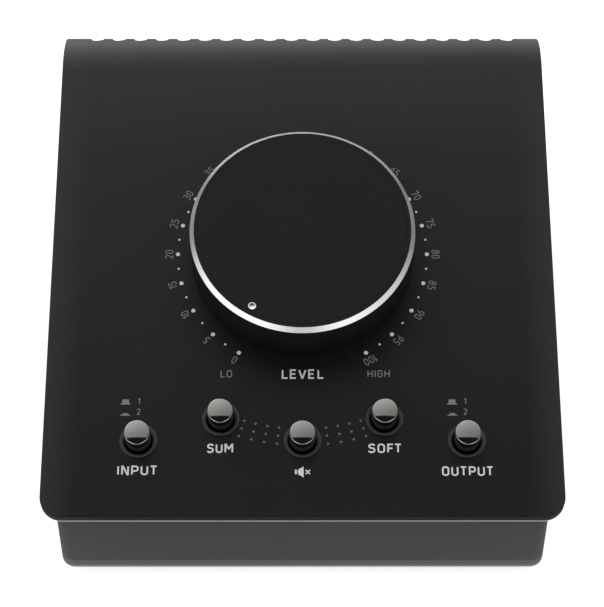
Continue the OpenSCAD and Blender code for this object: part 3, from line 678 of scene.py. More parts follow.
@dataclass(frozen=True)
class Finish:
    """One finish of the object: a colour with its variation, a gloss and a fine relief."""

    name: str
    base: RGB
    shade: RGB
    roughness: float
    spread: float = 0.05
    metallic: float = 0.0
    specular: float = 0.5
    coat: float = 0.0
    coat_roughness: float = 0.08
    relief: Relief = Relief.GRAIN
    scale: float = 2500.0
    depth: float = 0.3
    height_mm: float = 0.02
    wear: float = 0.0
    wear_color: RGB = grey(0.1)
    dust: float = 0.0
    dust_color: RGB = (0.35, 0.34, 0.32)
    dust_roughness: float = 0.3
    centre: Point = (0.0, 0.0, 0.0)
    tilt: float = 0.0
    # Painted light and shade, laid over the colour
    fades: tuple[Fade, ...] = ()
    # Noise over which the base turns into the shade, and relief over which the roughness rises
    cloud: tuple[float, float] = (0.3, 0.7)
    heights: tuple[float, float] = (0.3, 1.0)

    def build(self) -> bpy.types.Material:
        """Makes the material, with one Principled shader and the shared effects.

        Returns:
            The material.
        """
        material = bpy.data.materials.new(self.name)
        material.use_nodes = True
        g = Graph(material.node_tree)
        shader = g.fill(
            g.tree.nodes["Principled BSDF"], Metallic=self.metallic, Specular_IOR_Level=self.specular,
            Coat_Weight=self.coat, Coat_Roughness=self.coat_roughness,
        )
        place = g.add("ShaderNodeTexCoord").outputs["Object"]
        if self.relief is Relief.TURNED:
            place = g.add(
                "ShaderNodeMapping", vector_type="TEXTURE", Vector=place, Location=self.centre,
                Rotation=(self.tilt, 0.0, 0.0),
            ).outputs[0]
        grain = g.add("ShaderNodeGroup", node_tree=EFFECTS.grain, Scale=self.scale, Vector=place).outputs
        height = grain["Height"]
        if self.relief is not Relief.GRAIN:
            tree = EFFECTS.turning if self.relief is Relief.TURNED else EFFECTS.brushing
            lines = g.add("ShaderNodeGroup", node_tree=tree, Vector=place)
            g.feed(self.scale, lines.inputs[1])
            height = lines.outputs["Height"]
        color = g.blend(g.span(grain["Cloud"], *self.cloud), self.base, self.shade)
        # Lays the painted light and shade over the colour
        for fade in self.fades:
            color = fade.apply(g, place, color)
        rough = g.span(height, *self.heights, self.roughness - self.spread, self.roughness + self.spread)
        if self.wear:
            worn = g.add("ShaderNodeGroup", node_tree=EFFECTS.wear, Amount=self.wear, Vector=place)
            color = g.blend(worn.outputs["Mask"], color, self.wear_color)
        if self.dust:
            dusty = g.add("ShaderNodeGroup", node_tree=EFFECTS.dust, Amount=self.dust, Vector=place)
            color = g.blend(dusty.outputs["Mask"], color, self.dust_color)
            rough = g.math("ADD", rough, g.math("MULTIPLY", dusty.outputs["Mask"], self.dust_roughness))
        bump = g.add("ShaderNodeBump", Strength=self.depth, Distance=self.height_mm * MM, Height=height)
        g.fill(shader, Base_Color=color, Roughness=rough, Normal=bump.outputs[0])
        return material


@dataclass(frozen=True)
class Finishes:
    """Every finish of the object, by the record's slot names, and the inks."""

    knob_axis: Point = (0.0, -0.0025831, 0.0468373)

    def paints(self) -> list[Finish]:
        """Lists the powder coats, with painted sheen, a painted highlight line and a painted floor
        reflection as fades, a lighter copy as painted reflection in the countersinks, and the knob's
        anodised skin.

        Returns:
            The finishes.
        """
        coat = {"spread": 0.06, "scale": 2600.0, "depth": 0.35}
        fine = {**coat, "height_mm": 0.012}
        coarse = {**coat, "height_mm": 0.014}
        uphill, out, up = tuple(PLANE.uphill), tuple(PLANE.normal), (0.0, 0.0, 1.0)
        # Painted sheen on the cover: lighter up the slope, lightest at the rear bend's crest, less past it,
        # and lighter at both sides
        painted_sheen_rising = Fade(uphill, -0.037, 0.058, (0.0128, 0.0136, 0.0145))
        painted_sheen_crest = Fade(uphill, 0.038, 0.0615, (0.0205, 0.0212, 0.0218))
        painted_sheen_past_crest = Fade(uphill, 0.0625, 0.0700, (0.0125, 0.0132, 0.0140))
        rim = Fade((1.0, 0.0, 0.0), 0.052, 0.0602, grey(0.024), True)
        # Painted highlight: a near-white line along the cover's lower front edge
        painted_edge_highlight = Fade(out, 0.04343, 0.04335, grey(0.80))
        # Painted reflection of the pale floor: three bands on the tray's front wall, lighter towards its
        # foot
        painted_floor_reflection = tuple(
            Fade(up, gone, full, grey(level))
            for gone, full, level in ((0.024, 0.007, 0.074), (0.0072, 0.0065, 0.145), (0.0052, 0.0044, 0.32))
        )
        charcoal = (0.046, 0.0462, 0.0465), (0.052, 0.052, 0.0522), 0.5
        return [
            # The cover paint carries the painted sheen fades as well as its own colour, wear and dust
            Finish("cover_paint", (0.0042, 0.0059, 0.0084), (0.0051, 0.0068, 0.0093), 0.40, specular=0.24,
                   wear=0.25, wear_color=(0.05, 0.05, 0.052), dust=0.03, fades=(painted_sheen_rising, painted_sheen_crest, painted_sheen_past_crest, rim),
                   **fine),
            # A copy of the cover paint for the front face, with the painted highlight line
            Finish("cover_front_painted_highlight", (0.0068, 0.0071, 0.0076), (0.0078, 0.008, 0.0083), 0.48, specular=0.12,
                   fades=(painted_edge_highlight,), **fine),
            # A much lighter copy of the cover paint for the countersinks, a painted reflection
            Finish("cover_sink_painted_reflection", (0.05, 0.0505, 0.052), (0.06, 0.06, 0.061), 0.34, scale=2600.0,
                   height_mm=0.01),
            Finish("tray_paint", *charcoal, specular=0.35, wear=0.25, wear_color=grey(0.12), dust=0.03,
                   **coarse),
            # A copy of the tray paint for the front wall, with the painted floor reflection
            Finish("tray_front_painted_reflection", *charcoal, specular=0.35, fades=painted_floor_reflection, **coarse),
            Finish("panel_paint", (0.0095, 0.0098, 0.0105), (0.012, 0.0122, 0.0128), 0.5, specular=0.3,
                   wear=0.2, wear_color=grey(0.06), dust=0.03, **coarse),
            Finish("knob_anodised", (0.0056, 0.0072, 0.0084), (0.0064, 0.008, 0.0092), 0.46, specular=0.19,
                   scale=3400.0, height_mm=0.01, dust=0.02),
        ]

    def metals(self) -> list[Finish]:
        """Lists the bare, plated and turned metals.

        Returns:
            The finishes.
        """
        drawn = {"metallic": 1.0, "relief": Relief.DRAWN}
        turned = {"metallic": 1.0, "relief": Relief.TURNED, "centre": self.knob_axis, "tilt": PLANE.slope}
        axle = {**turned, "scale": 6000.0}
        return [
            Finish("zinc_steel", (0.60, 0.61, 0.62), (0.52, 0.53, 0.55), 0.34, 0.1, **drawn),
            Finish("black_steel", (0.022, 0.022, 0.024), (0.03, 0.03, 0.032), 0.38, 0.1, metallic=0.6,
                   scale=4000.0, wear=0.5, wear_color=grey(0.25)),
            Finish("nickel_steel", (0.62, 0.61, 0.58), (0.55, 0.54, 0.52), 0.24, 0.08, scale=5000.0,
                   depth=0.2, **drawn),
            Finish("pot_steel", (0.52, 0.53, 0.54), (0.60, 0.61, 0.62), 0.36, 0.08, **drawn),
            Finish("bushing_brass", (0.70, 0.52, 0.24), (0.62, 0.46, 0.22), 0.3, 0.08, **axle),
            Finish("shaft_aluminium", (0.72, 0.73, 0.74), (0.66, 0.67, 0.68), 0.3, 0.08, **axle),
            Finish("knob_bright", (0.86, 0.87, 0.88), (0.80, 0.81, 0.83), 0.33, 0.1, scale=14000.0,
                   depth=0.35, height_mm=0.006, **turned),
            Finish("cap_chrome", (0.36, 0.353, 0.335), (0.33, 0.323, 0.307), 0.045, 0.02, metallic=1.0,
                   scale=1800.0, depth=0.02, dust=0.25, dust_color=(0.25, 0.24, 0.22)),
            Finish("contact_bronze", (0.66, 0.55, 0.40), (0.58, 0.48, 0.35), 0.25, 0.06, metallic=1.0,
                   depth=0.2),
        ]

    def plastics(self) -> list[Finish]:
        """Lists the mouldings, the rubber, the boards and the wires' insulation.

        Returns:
            The finishes.
        """
        return [
            Finish("foot_rubber", (0.016, 0.016, 0.017), grey(0.024), 0.82, 0.08, specular=0.3, scale=3000.0,
                   depth=0.6, dust=0.3),
            Finish("board_laminate", (0.012, 0.10, 0.045), (0.02, 0.14, 0.06), 0.35, coat=0.3, scale=1500.0,
                   depth=0.15),
            Finish("chip_plastic", (0.014, 0.014, 0.015), (0.022, 0.022, 0.023), 0.6, 0.06, depth=0.5),
            Finish("capacitor_sleeve", (0.02, 0.025, 0.05), (0.03, 0.034, 0.06), 0.3, depth=0.1),
            Finish("cable_plastic", (0.28, 0.29, 0.30), (0.34, 0.35, 0.36), 0.5, 0.06, relief=Relief.DRAWN,
                   scale=800.0, depth=0.4),
            Finish("socket_plastic", (0.016, 0.016, 0.018), (0.023, 0.023, 0.025), 0.45, 0.06, depth=0.35),
            Finish("plunger_plastic", (0.72, 0.70, 0.65), (0.78, 0.76, 0.71), 0.45, depth=0.2),
            Finish("switch_plastic", (0.055, 0.06, 0.065), (0.07, 0.074, 0.08), 0.5),
            Finish("jack_plastic", (0.014, 0.014, 0.015), (0.02, 0.02, 0.021), 0.42, 0.06),
            Finish("lead_plastic", (0.38, 0.028, 0.02), (0.44, 0.035, 0.025), 0.45, depth=0.2),
        ]

    def inks(self) -> list[Finish]:
        """Lists the three tones of the printing.

        Returns:
            The finishes.
        """
        rows = (
            ("white_ink", grey(0.76), (0.70, 0.70, 0.705)),
            ("grey_ink", (0.225, 0.225, 0.228), (0.195, 0.195, 0.198)),
            ("dark_ink", (0.15, 0.15, 0.152), (0.13, 0.13, 0.132)),
        )
        return [Finish(name, base, shade, 0.55, specular=0.3) for name, base, shade in rows]

    def build(self) -> dict[str, bpy.types.Material]:
        """Makes all the materials.

        Returns:
            The materials by the name of their finish.
        """
        rows = self.paints() + self.metals() + self.plastics() + self.inks()
        return {row.name: row.build() for row in rows}


PAINTS = Finishes().build()


# ------------------------------------------------------------------ housing


@dataclass
class Housing:
    """Cover, tray and rear panel: copies of the solids with their edges softened."""

    cover_round: float = 0.32
    tray_round: float = 0.25
    panel_round: float = 0.2
    # Countersink faces take the lighter copy of the paint, a painted reflection
    # A countersink: how far from the button's axis it reaches, and how much it faces out of the cover
    sink_reach: float = 4.4
    sink_lift: tuple[float, float] = (0.2, 0.97)
    # Front face faces take the copy of the paint with the painted highlight line
    # The cover's front face: how far it faces forwards and out, and how far up the slope it reaches
    front_facing: float = -0.12
    front_lift: float = 0.3
    front_reach: float = 8.0
    # Front wall faces take the copy of the paint with the painted floor reflection
    # The tray's front wall: how far it faces forwards, and how little it faces down
    wall_facing: float = -0.15
    wall_drop: float = -0.9

    def build(self) -> None:
        """Makes the three pieces and dresses the brackets."""
        cover = softened("top_cover", self.cover_round)
        # Countersinks and the front face take copies of the paint with a painted reflection and a painted
        # highlight line
        for face in cover.faces:
            face.material_index = self.cover_zone(face)
        paints = ("cover_paint", "cover_sink_painted_reflection", "cover_front_painted_highlight")
        make_piece("cover_plate", cover, paints, replaces=("top_cover",))
        tray = softened("base_tray", self.tray_round)
        # The front wall takes the copy of the paint with the painted floor reflection
        for face in tray.faces:
            face.material_index = int(face.normal.y < self.wall_facing and face.normal.z > self.wall_drop)
        make_piece("tray_shell", tray, ("tray_paint", "tray_front_painted_reflection"), replaces=("base_tray",))
        panel = softened("rear_panel", self.panel_round)
        make_piece("back_plate", panel, ("panel_paint",), replaces=("rear_panel",))
        for side in ("left", "right"):
            dress(f"bracket_{side}", "zinc_steel")

    def cover_zone(self, face: bmesh.types.BMFace) -> int:
        """Tells which paint a face of the cover has.

        Args:
            face: The face, in millimetres.

        Returns:
            1 for a countersink, which takes a painted reflection, 2 for the front face, which takes a
            painted highlight line, 0 for the rest.
        """
        lift = face.normal.dot(PLANE.normal)
        middle = face.calc_center_median() - Vector((0.0, PLANE.front_y, PLANE.front_z))
        u, v = middle.x, middle.dot(PLANE.uphill)
        near = any(math.hypot(u - x, v - y) < self.sink_reach for _, x, y in BUTTONS)
        if near and self.sink_lift[0] < lift < self.sink_lift[1]:
            return 1
        front = face.normal.y < self.front_facing and lift < self.front_lift and v < self.front_reach
        return 2 if front else 0


@dataclass
class RubberFeet:
    """Four round feet with a rolled edge and a shallow hollow below."""

    nodes: tuple[str, ...] = ("foot_front_left", "foot_front_right", "foot_rear_left", "foot_rear_right")
    radius: float = 6.5
    height: float = 2.0
    hollow: float = 0.35
    # How far in from the side the hollow's floor, the ring that stands on the table and the taper end
    floor_in: float = 2.0
    ring_in: float = 1.4
    taper_in: float = 0.5
    edge: float = 0.3

    def build(self) -> None:
        """Makes each foot where its solid stands."""
        r, h = self.radius, self.height
        hollow = [(0, self.hollow), (r - self.floor_in, self.hollow), (r - self.ring_in, 0)]
        for node in self.nodes:
            low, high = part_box(node)
            middle = (low + high) / 2
            bm = spin_solid([*hollow, (r - self.taper_in, 0), (r, h), (0, h)], steps=64)
            round_edges(bm, self.edge, angle=20.0)
            place = Matrix.Translation((middle.x, middle.y, 0)) @ TO_METRES
            make_piece(f"rubber_{node}", bm, ("foot_rubber",), place, replaces=(node,))


# ------------------------------------------------------------------ knob and buttons


@dataclass
class VolumeKnob:
    """The big knob: an anodised shell, a bright ring with a cut chamfer, and a dished pointer."""

    body_round: float = 0.12
    ring_round: float = 0.0
    pointer_round: float = 0.08
    # How much a face of the bright cut chamfer faces out of the cover
    chamfer: tuple[float, float] = (0.4, 0.92)

    def build(self) -> None:
        """Makes softened copies of the three outer parts and dresses the parts inside."""
        for name, node, finishes, width in (
            ("knob_shell", "knob_body", ("knob_anodised",), self.body_round),
            ("knob_bezel", "knob_ring", ("knob_bright", "knob_anodised"), self.ring_round),
            ("knob_dot", "knob_pointer", ("knob_bright",), self.pointer_round),
        ):
            bm = softened(node, width, segments=2, angle=28.0)
            if node == "knob_ring":
                low, high = self.chamfer
                for face in bm.faces:
                    face.material_index = 0 if low < face.normal.dot(PLANE.normal) < high else 1
            make_piece(name, bm, finishes, body="knob", replaces=(node,), smooth=25.0)
        dress("knob_sleeve", "bushing_brass")
        dress("pot_shaft", "shaft_aluminium")


@dataclass
class PushButton:
    """A domed cap over its switch."""

    name: str
    u: float
    v: float
    radius: float = 3.03
    rim: float = 4.84
    dome: float = 0.25
    low: float = -3.2
    edge: float = 0.3
    dome_steps: int = 10

    def build(self) -> None:
        """Makes the cap and dresses its plunger and switch."""
        ball = (self.radius ** 2 + self.dome ** 2) / (2 * self.dome)
        middle = self.rim + self.dome - ball
        reach = math.asin(self.radius / ball)
        turns = [reach * i / self.dome_steps for i in range(self.dome_steps + 1)]
        arc = [(ball * math.sin(turn), middle + ball * math.cos(turn)) for turn in turns]
        bm = spin_solid([*arc, (self.radius, self.low), (0, self.low)], steps=72)
        round_edges(bm, self.edge, segments=5)
        make_piece(
            f"{self.name}_button_cap", bm, ("cap_chrome",), PLANE.at(self.u, self.v),
            body=f"{self.name}_button", replaces=(f"{self.name}_cap",), smooth=40.0,
        )
        dress(f"{self.name}_plunger", "plunger_plastic")
        dress(f"{self.name}_switch", "switch_plastic")


# ------------------------------------------------------------------ printing


class Weight(Enum):
    """Weight of the printed letters: the width of their strokes, as a share of their height."""

    LIGHT = 0.11
    BOOK = 0.13
    BOLD = 0.162


@dataclass(frozen=True)
class Stroke:
    """One stroke of a letter: the corners of its middle line, each with its rounding."""

    corners: tuple[tuple[float, ...], ...]
    closed: bool = False
    # Most of a side that a rounding takes: towards a rounded corner, and towards a sharp one or an end
    shares: tuple[float, float] = (0.49, 0.94)

    def leg(self, here: Vector, other: tuple[float, ...], radius: float) -> Vector:
        """Step from a corner towards its neighbour, never past the neighbour's own rounding.

        Args:
            here: The corner.
            other: The neighbour.
            radius: Rounding of the corner.

        Returns:
            The step to where the rounding starts.
        """
        way = Vector(other[:2]) - here
        share = self.shares[0] if len(other) == 3 else self.shares[1]
        return way.normalized() * min(radius, share * way.length)

    def points(self, steps: int = 6) -> Outline:
        """Works out the stroke's middle line, with its round corners as short arcs.

        Args:
            steps: Number of steps in each arc.

        Returns:
            The points, in order.
        """
        line = []
        count = len(self.corners)
        for i, corner in enumerate(self.corners):
            here = Vector(corner[:2])
            if len(corner) < 3:
                line.append(tuple(here))
                continue
            back, ahead = (self.leg(here, self.corners[j], corner[2]) for j in (i - 1, (i + 1) % count))
            for step in range(steps + 1):
                turn = math.pi / 2 * step / steps
                line.append(tuple(here + back * (1 - math.sin(turn)) + ahead * (1 - math.cos(turn))))
        return line


def line(*points: tuple[float, ...]) -> Stroke:
    """A stroke with two ends."""
    return Stroke(points)


def loop(*points: tuple[float, ...]) -> Stroke:
    """A stroke that closes on itself."""
    return Stroke(points, True)


@dataclass(frozen=True)
class Alphabet:
    """A plain narrow alphabet of straight strokes and round corners, one unit high."""

    bowl: float = 0.24
    gap: float = 0.36

    @staticmethod
    def kerning(pair: str) -> float:
        """How much closer than usual two letters stand, in letter heights."""
        closer = {
            "FT": 0.17, "LE": 0.09, "EV": 0.07, "VE": 0.06, "UT": 0.06, "TP": 0.04, "PU": 0.03, "LO": 0.06,
        }
        return closer.get(pair, 0.0)

    def glyph(self, letter: str) -> tuple[Stroke, ...]:
        """The strokes of a letter, from its left side at x = 0.

        Args:
            letter: A capital letter, a figure or a space.

        Returns:
            Its strokes.
        """
        r = self.bowl
        table = {
            " ": (),
            "0": (loop((0, 0, r), (0.5, 0, r), (0.5, 1, r), (0, 1, r)),),
            "1": (line((0, 0.78), (0.24, 1), (0.24, 0)),),
            "2": (line((0, 0.78), (0, 1, r), (0.5, 1, r), (0.5, 0.6, 0.12), (0, 0), (0.52, 0)),),
            "3": (
                line((0, 0.86), (0, 1, 0.13), (0.48, 1, r), (0.48, 0.53, r), (0.16, 0.53)),
                line((0.16, 0.53), (0.5, 0.53, r), (0.5, 0, r), (0, 0, 0.13), (0, 0.14)),
            ),
            "4": (line((0.3, 1), (0, 0.24), (0.54, 0.24)), line((0.38, 0.6), (0.38, 0))),
            "5": (
                line((0.47, 1), (0.04, 1), (0.04, 0.58), (0.5, 0.58, r), (0.5, 0, r), (0, 0, 0.16),
                     (0, 0.17)),
            ),
            "6": (line((0.42, 1), (0, 0.46, 0.1), (0, 0, r), (0.5, 0, r), (0.5, 0.58, r), (0.05, 0.58)),),
            "7": (line((0, 0.84), (0, 1), (0.5, 1), (0.16, 0)),),
            "8": (
                loop((0, 0, r), (0.52, 0, r), (0.52, 0.54, r), (0, 0.54, r)),
                loop((0.03, 0.54, 0.2), (0.49, 0.54, 0.2), (0.49, 1, 0.2), (0.03, 1, 0.2)),
            ),
            "9": (line((0.08, 0), (0.5, 0.54, 0.1), (0.5, 1, r), (0, 1, r), (0, 0.42, r), (0.45, 0.42)),),
            "C": (line((0.5, 0.74), (0.5, 1, r), (0, 1, r), (0, 0, r), (0.5, 0, r), (0.5, 0.26)),),
            "D": (loop((0, 0), (0.52, 0, r), (0.52, 1, r), (0, 1)),),
            "E": (line((0.46, 1), (0, 1), (0, 0), (0.46, 0)), line((0, 0.51), (0.41, 0.51))),
            "F": (line((0.46, 1), (0, 1), (0, 0)), line((0, 0.5), (0.41, 0.5))),
            "G": (
                line((0.5, 0.76), (0.5, 1, r), (0, 1, r), (0, 0, r), (0.5, 0, r), (0.5, 0.5), (0.28, 0.5)),
            ),
            "H": (line((0, 0), (0, 1)), line((0.52, 0), (0.52, 1)), line((0, 0.51), (0.52, 0.51))),
            "I": (line((0, 0), (0, 1)),),
            "L": (line((0, 1), (0, 0), (0.44, 0)),),
            "M": (
                line((0, 0), (0, 1), (0.06, 1), (0.33, 0.44), (0.37, 0.44), (0.64, 1), (0.7, 1), (0.7, 0)),
            ),
            "N": (line((0, 0), (0, 1), (0.07, 1), (0.47, 0), (0.54, 0), (0.54, 1)),),
            "O": (loop((0, 0, r), (0.54, 0, r), (0.54, 1, r), (0, 1, r)),),
            "P": (line((0, 0), (0, 1), (0.52, 1, r), (0.52, 0.42, r), (0, 0.42)),),
            "R": (
                line((0, 0), (0, 1), (0.5, 1, r), (0.5, 0.46, r), (0, 0.46)), line((0.26, 0.46), (0.52, 0)),
            ),
            "S": (
                line((0.49, 0.82), (0.49, 1, 0.18), (0.01, 1, r), (0.01, 0.53, r), (0.5, 0.53, r),
                     (0.5, 0, r), (0, 0, 0.18), (0, 0.18)),
            ),
            "T": (line((0, 1), (0.54, 1)), line((0.27, 1), (0.27, 0))),
            "U": (line((0, 1), (0, 0, r), (0.53, 0, r), (0.53, 1)),),
            "V": (line((0, 1), (0.26, 0), (0.31, 0), (0.57, 1)),),
        }
        return table[letter]


@dataclass
class Lettering:
    """Makes printed words and figures as thin closed solids."""

    low: float = -0.02
    high: float = 0.02
    # Each stroke stands this much over the one before, so that no two tops lie in one plane
    lift: float = 0.0015
    # Width of the letters' unit square, as a share of its height
    squeeze: float = 0.86
    # Width of a space, in letter heights
    space: float = 0.1
    alphabet: Alphabet = field(default_factory=Alphabet)

    def ribbon(self, stroke: Stroke, shift: float, scale: tuple[float, float], top: float) -> BMesh:
        """Draws a stroke's middle line and raises it into an upright ribbon.

        Args:
            stroke: The stroke.
            shift: Distance of the letter from the start of the word, in letter heights.
            scale: Width and height of the unit square, in millimetres.
            top: Upper edge of the ribbon.

        Returns:
            The ribbon.
        """
        bm = bmesh.new()
        wire(bm, [(x + shift, y, 0) for x, y in stroke.points()], stroke.closed)
        bmesh.ops.remove_doubles(bm, verts=bm.verts, dist=0.002)
        bmesh.ops.scale(bm, vec=(*scale, 1), verts=bm.verts)
        bmesh.ops.translate(bm, vec=(0, 0, self.low), verts=bm.verts)
        made = bmesh.ops.extrude_edge_only(bm, edges=bm.edges[:])
        bmesh.ops.translate(bm, vec=(0, 0, top - self.low), verts=corners(made))
        return bm

    def word(self, text: str, height: float, weight: Weight, width: float = 0.0) -> BMesh:
        """Makes one word about its own middle, lying on the plane z = 0.

        Args:
            text: The word.
            height: Height of its capitals, in millimetres.
            weight: Its weight.
            width: Its whole width in millimetres, or 0 for the usual squeeze.

        Returns:
            The word's mesh, in millimetres.
        """
        thickness = weight.value * height
        shift, placed = 0.0, []
        for number, letter in enumerate(text):
            shift -= self.alphabet.kerning(text[max(number - 1, 0):number + 1])
            strokes = self.alphabet.glyph(letter)
            placed += [(stroke, shift) for stroke in strokes]
            reach = max((c[0] for stroke in strokes for c in stroke.corners), default=self.space)
            shift += reach + self.alphabet.gap
        total = max(shift - self.alphabet.gap, 0.01)
        tall = height - thickness
        wide = (width - thickness) / total if width else tall * self.squeeze
        whole = join([
            (self.ribbon(stroke, at, (wide, tall), self.high + self.lift * number), IN_PLACE)
            for number, (stroke, at) in enumerate(placed)
        ])
        bmesh.ops.translate(whole, vec=(-total * wide / 2, -tall / 2, 0), verts=whole.verts)
        return thicken(whole, thickness)


def ink_piece(name: str, parts: list[Placed], ink: str, slot: str = "cover_paint") -> None:
    """Makes one printed piece out of its parts.

    Args:
        name: Name of the piece.
        parts: Meshes in millimetres with their places.
        ink: Name of the ink.
        slot: The record's material slot of the surface that it is printed on; passed on to make_piece, which
            does not use it.
    """
    make_piece(name, join(parts), (ink,), IN_PLACE, slot)


@dataclass
class DialPrint:
    """The ring of dots and plain numbers round the knob."""

    dot_ring: float = 29.85
    number_ring: float = 31.95
    large: float = 0.5
    small: float = 0.27
    digit_height: float = 1.95
    # Direction of the value 0 and turn from one value to the next, clockwise from the rear, in degrees
    zero: float = -150.0
    sweep: float = 3.0
    top_value: int = 100
    dot_step: float = 2.5
    number_step: int = 5
    letters: Lettering = field(default_factory=Lettering)

    def spot(self, value: float, radius: float) -> Matrix:
        """Place on the dial at a value from 0 to 100, turned so that its top points outwards."""
        angle = math.radians(self.sweep * value + self.zero)
        return PLANE.at(radius * math.sin(angle), KNOB_V + radius * math.cos(angle), 0.0, -angle)

    def build(self) -> None:
        """Makes the dots and the numbers."""
        dots = []
        for step in range(round(self.top_value / self.dot_step) + 1):
            disc = disc_solid(self.small if step % 2 else self.large, self.letters.low, self.letters.high)
            dots.append((disc, self.spot(self.dot_step * step, self.dot_ring)))
        ink_piece("dial_dots", dots, "white_ink")
        numbers = []
        for value in range(0, self.top_value + 1, self.number_step):
            number = self.letters.word(str(value), self.digit_height, Weight.LIGHT)
            numbers.append((number, self.spot(value, self.number_ring)))
        ink_piece("dial_numbers", numbers, "grey_ink")


@dataclass
class ControlPrint:
    """Plain words and signs at the controls, and the two groups of small dots."""

    figure_height: float = 1.55
    sign_line: float = 0.32
    dot_r: float = 0.29
    dot_turns: tuple[float, ...] = (6.9, 10.4, 13.9, 17.4)
    dot_rings: tuple[float, ...] = (45.1, 47.1, 49.1)
    letters: Lettering = field(default_factory=Lettering)

    def build(self) -> None:
        """Makes the words, the signs and the dot groups."""
        # Word, place to the right and up the slope, height and width, in millimetres
        bold = (
            ("LEVEL", 0.1, 35.3, 2.4, 9.9), ("INPUT", -37.85, 11.3, 2.35, 9.2),
            ("SUM", -18.97, 16.7, 2.3, 6.0), ("SOFT", 18.98, 16.7, 2.3, 7.7),
            ("OUTPUT", 37.85, 11.1, 2.35, 11.8),
        )
        words = [(self.letters.word(t, h, Weight.BOLD, w), PLANE.at(u, v)) for t, u, v, h, w in bold]
        ink_piece("control_words", words + self.mute_sign(), "white_ink")
        quiet = (("LO", -17.8, 35.4, 1.85, 2.7), ("HIGH", 17.8, 35.4, 1.85, 5.2))
        small = [(self.letters.word(t, h, Weight.BOOK, w), PLANE.at(u, v)) for t, u, v, h, w in quiet]
        for u in (-38.0, 37.8):
            for v, figure in ((28.4, "1"), (25.8, "2")):
                small.append((self.letters.word(figure, self.figure_height, Weight.BOOK), PLANE.at(u, v)))
        for u in (-41.1, 34.75):
            small += self.switch_signs(u)
        ink_piece("control_marks", small, "grey_ink")
        ink_piece("dot_groups", self.dot_groups(), "dark_ink")

    def plate(self, points: Outline, u: float, v: float) -> Placed:
        """A flat printed shape with the given corners, placed on the cover."""
        return outline_solid(points, self.letters.low, self.letters.high), PLANE.at(u, v)

    def bar(self, start: tuple[float, float], end: tuple[float, float], u: float, v: float) -> Placed:
        """Makes a straight printed stroke.

        Args:
            start: Where it starts, from the sign's middle.
            end: Where it ends.
            u: The sign's place to the right.
            v: The sign's place up the slope.

        Returns:
            The stroke and its place.
        """
        along = Vector((end[0] - start[0], end[1] - start[1])).normalized() * self.sign_line / 2
        side = Vector((-along.y, along.x))
        a, b = Vector(start), Vector(end)
        return self.plate([tuple(p) for p in (a - side, b - side, b + side, a + side)], u, v)

    def mute_sign(self) -> list[Placed]:
        """Makes a plain loudspeaker with a small cross, a common sign for silence.

        Returns:
            Its parts and their places.
        """
        u, v = 0.0, 10.9
        return [
            self.plate([(-1.75, -0.55), (-1.3, -0.55), (-1.3, 0.55), (-1.75, 0.55)], u, v),
            self.plate([(-1.05, -0.55), (0.25, -1.35), (0.25, 1.35), (-1.05, 0.55)], u, v),
            self.bar((0.7, -0.5), (1.7, 0.5), u, v),
            self.bar((0.7, 0.5), (1.7, -0.5), u, v),
        ]

    def switch_signs(self, u: float) -> list[Placed]:
        """Makes the signs for a button that stands out and for one that is pressed in.

        Args:
            u: Their place to the right.

        Returns:
            Their parts and places.
        """
        parts = []
        bottom, top, side, flare = -0.6, -0.35, 1.15, 0.1
        for v, rise, half in ((28.2, 1.05, 0.75), (25.4, 0.4, 0.6)):
            parts.append(self.plate([(-side, bottom), (side, bottom), (side, top), (-side, top)], u, v))
            foot, head = half + flare, rise + top
            parts.append(self.plate([(-foot, top), (foot, top), (half, head), (-half, head)], u, v))
        return parts

    def dot_groups(self) -> list[Placed]:
        """Makes four rows of three dots on each side of the middle button, on circles about the knob.

        Returns:
            The dots and their places.
        """
        parts = []
        for side in (-1, 1):
            for turn in map(math.radians, self.dot_turns):
                for radius in self.dot_rings:
                    spot = PLANE.at(side * radius * math.sin(turn), KNOB_V - radius * math.cos(turn))
                    disc = disc_solid(self.dot_r, self.letters.low, self.letters.high, segments=16)
                    parts.append((disc, spot))
        return parts


@dataclass
class RearPrint:
    """Plain words at the sockets on the rear panel."""

    height: float = 1.6
    letters: Lettering = field(default_factory=Lettering)

    def build(self) -> None:
        """Makes the words."""
        # Word, place along X and height over the table, in millimetres
        rows = [
            ("IN 1", 29.25, 38.7), ("OUT 1", -9.75, 38.7), ("IN 2", 29.25, 21.75), ("OUT 2", -9.75, 21.75),
        ]
        for z in (39.1, 21.75):
            rows += [(letter, x, z) for letter, x in zip("LRLR", JackSockets.xs)]
        rows.append(("DC 12V", -39.0, 21.2))
        parts = [
            (self.letters.word(text, self.height, Weight.BOLD), facing_back(x, PANEL_Y, z))
            for text, x, z in rows
        ]
        ink_piece("socket_words", parts, "white_ink", "panel_paint")


# ------------------------------------------------------------------ sockets and small metal


def hexagon_nut(across: float, thick: float, bore: float, chamfer: float, segments: int = 48) -> BMesh:
    """A hexagonal nut on the plane z = 0 with its outer corners turned off.

    Args:
        across: Width across the flats.
        thick: Thickness.
        bore: Radius of its hole.
        chamfer: Width of the edge bevel.
        segments: Number of corners round the outside and round the hole.

    Returns:
        The nut's mesh.
    """
    bm = bmesh.new()
    outer = across / math.sqrt(3)
    rings = []
    for radius in (outer, bore):
        for height in (0.0, thick):
            level = Matrix.Translation((0, 0, height))
            made = bmesh.ops.create_circle(
                bm, cap_ends=False, segments=segments, radius=radius, matrix=level
            )
            if radius == outer:
                for v in made["verts"]:
                    angle = math.atan2(v.co.y, v.co.x) % (math.pi / 3) - math.pi / 6
                    v.co.xy *= across / 2 / math.cos(angle) / radius
            rings.append(made["verts"])
    loops = [[e for e in bm.edges if all(v in set(ring) for v in e.verts)] for ring in rings]
    for first, second in ((0, 1), (2, 3), (0, 2), (1, 3)):
        bmesh.ops.bridge_loops(bm, edges=loops[first] + loops[second])
    bmesh.ops.recalc_face_normals(bm, faces=bm.faces)
    round_edges(bm, chamfer, segments=2, angle=35.0)
    return bm


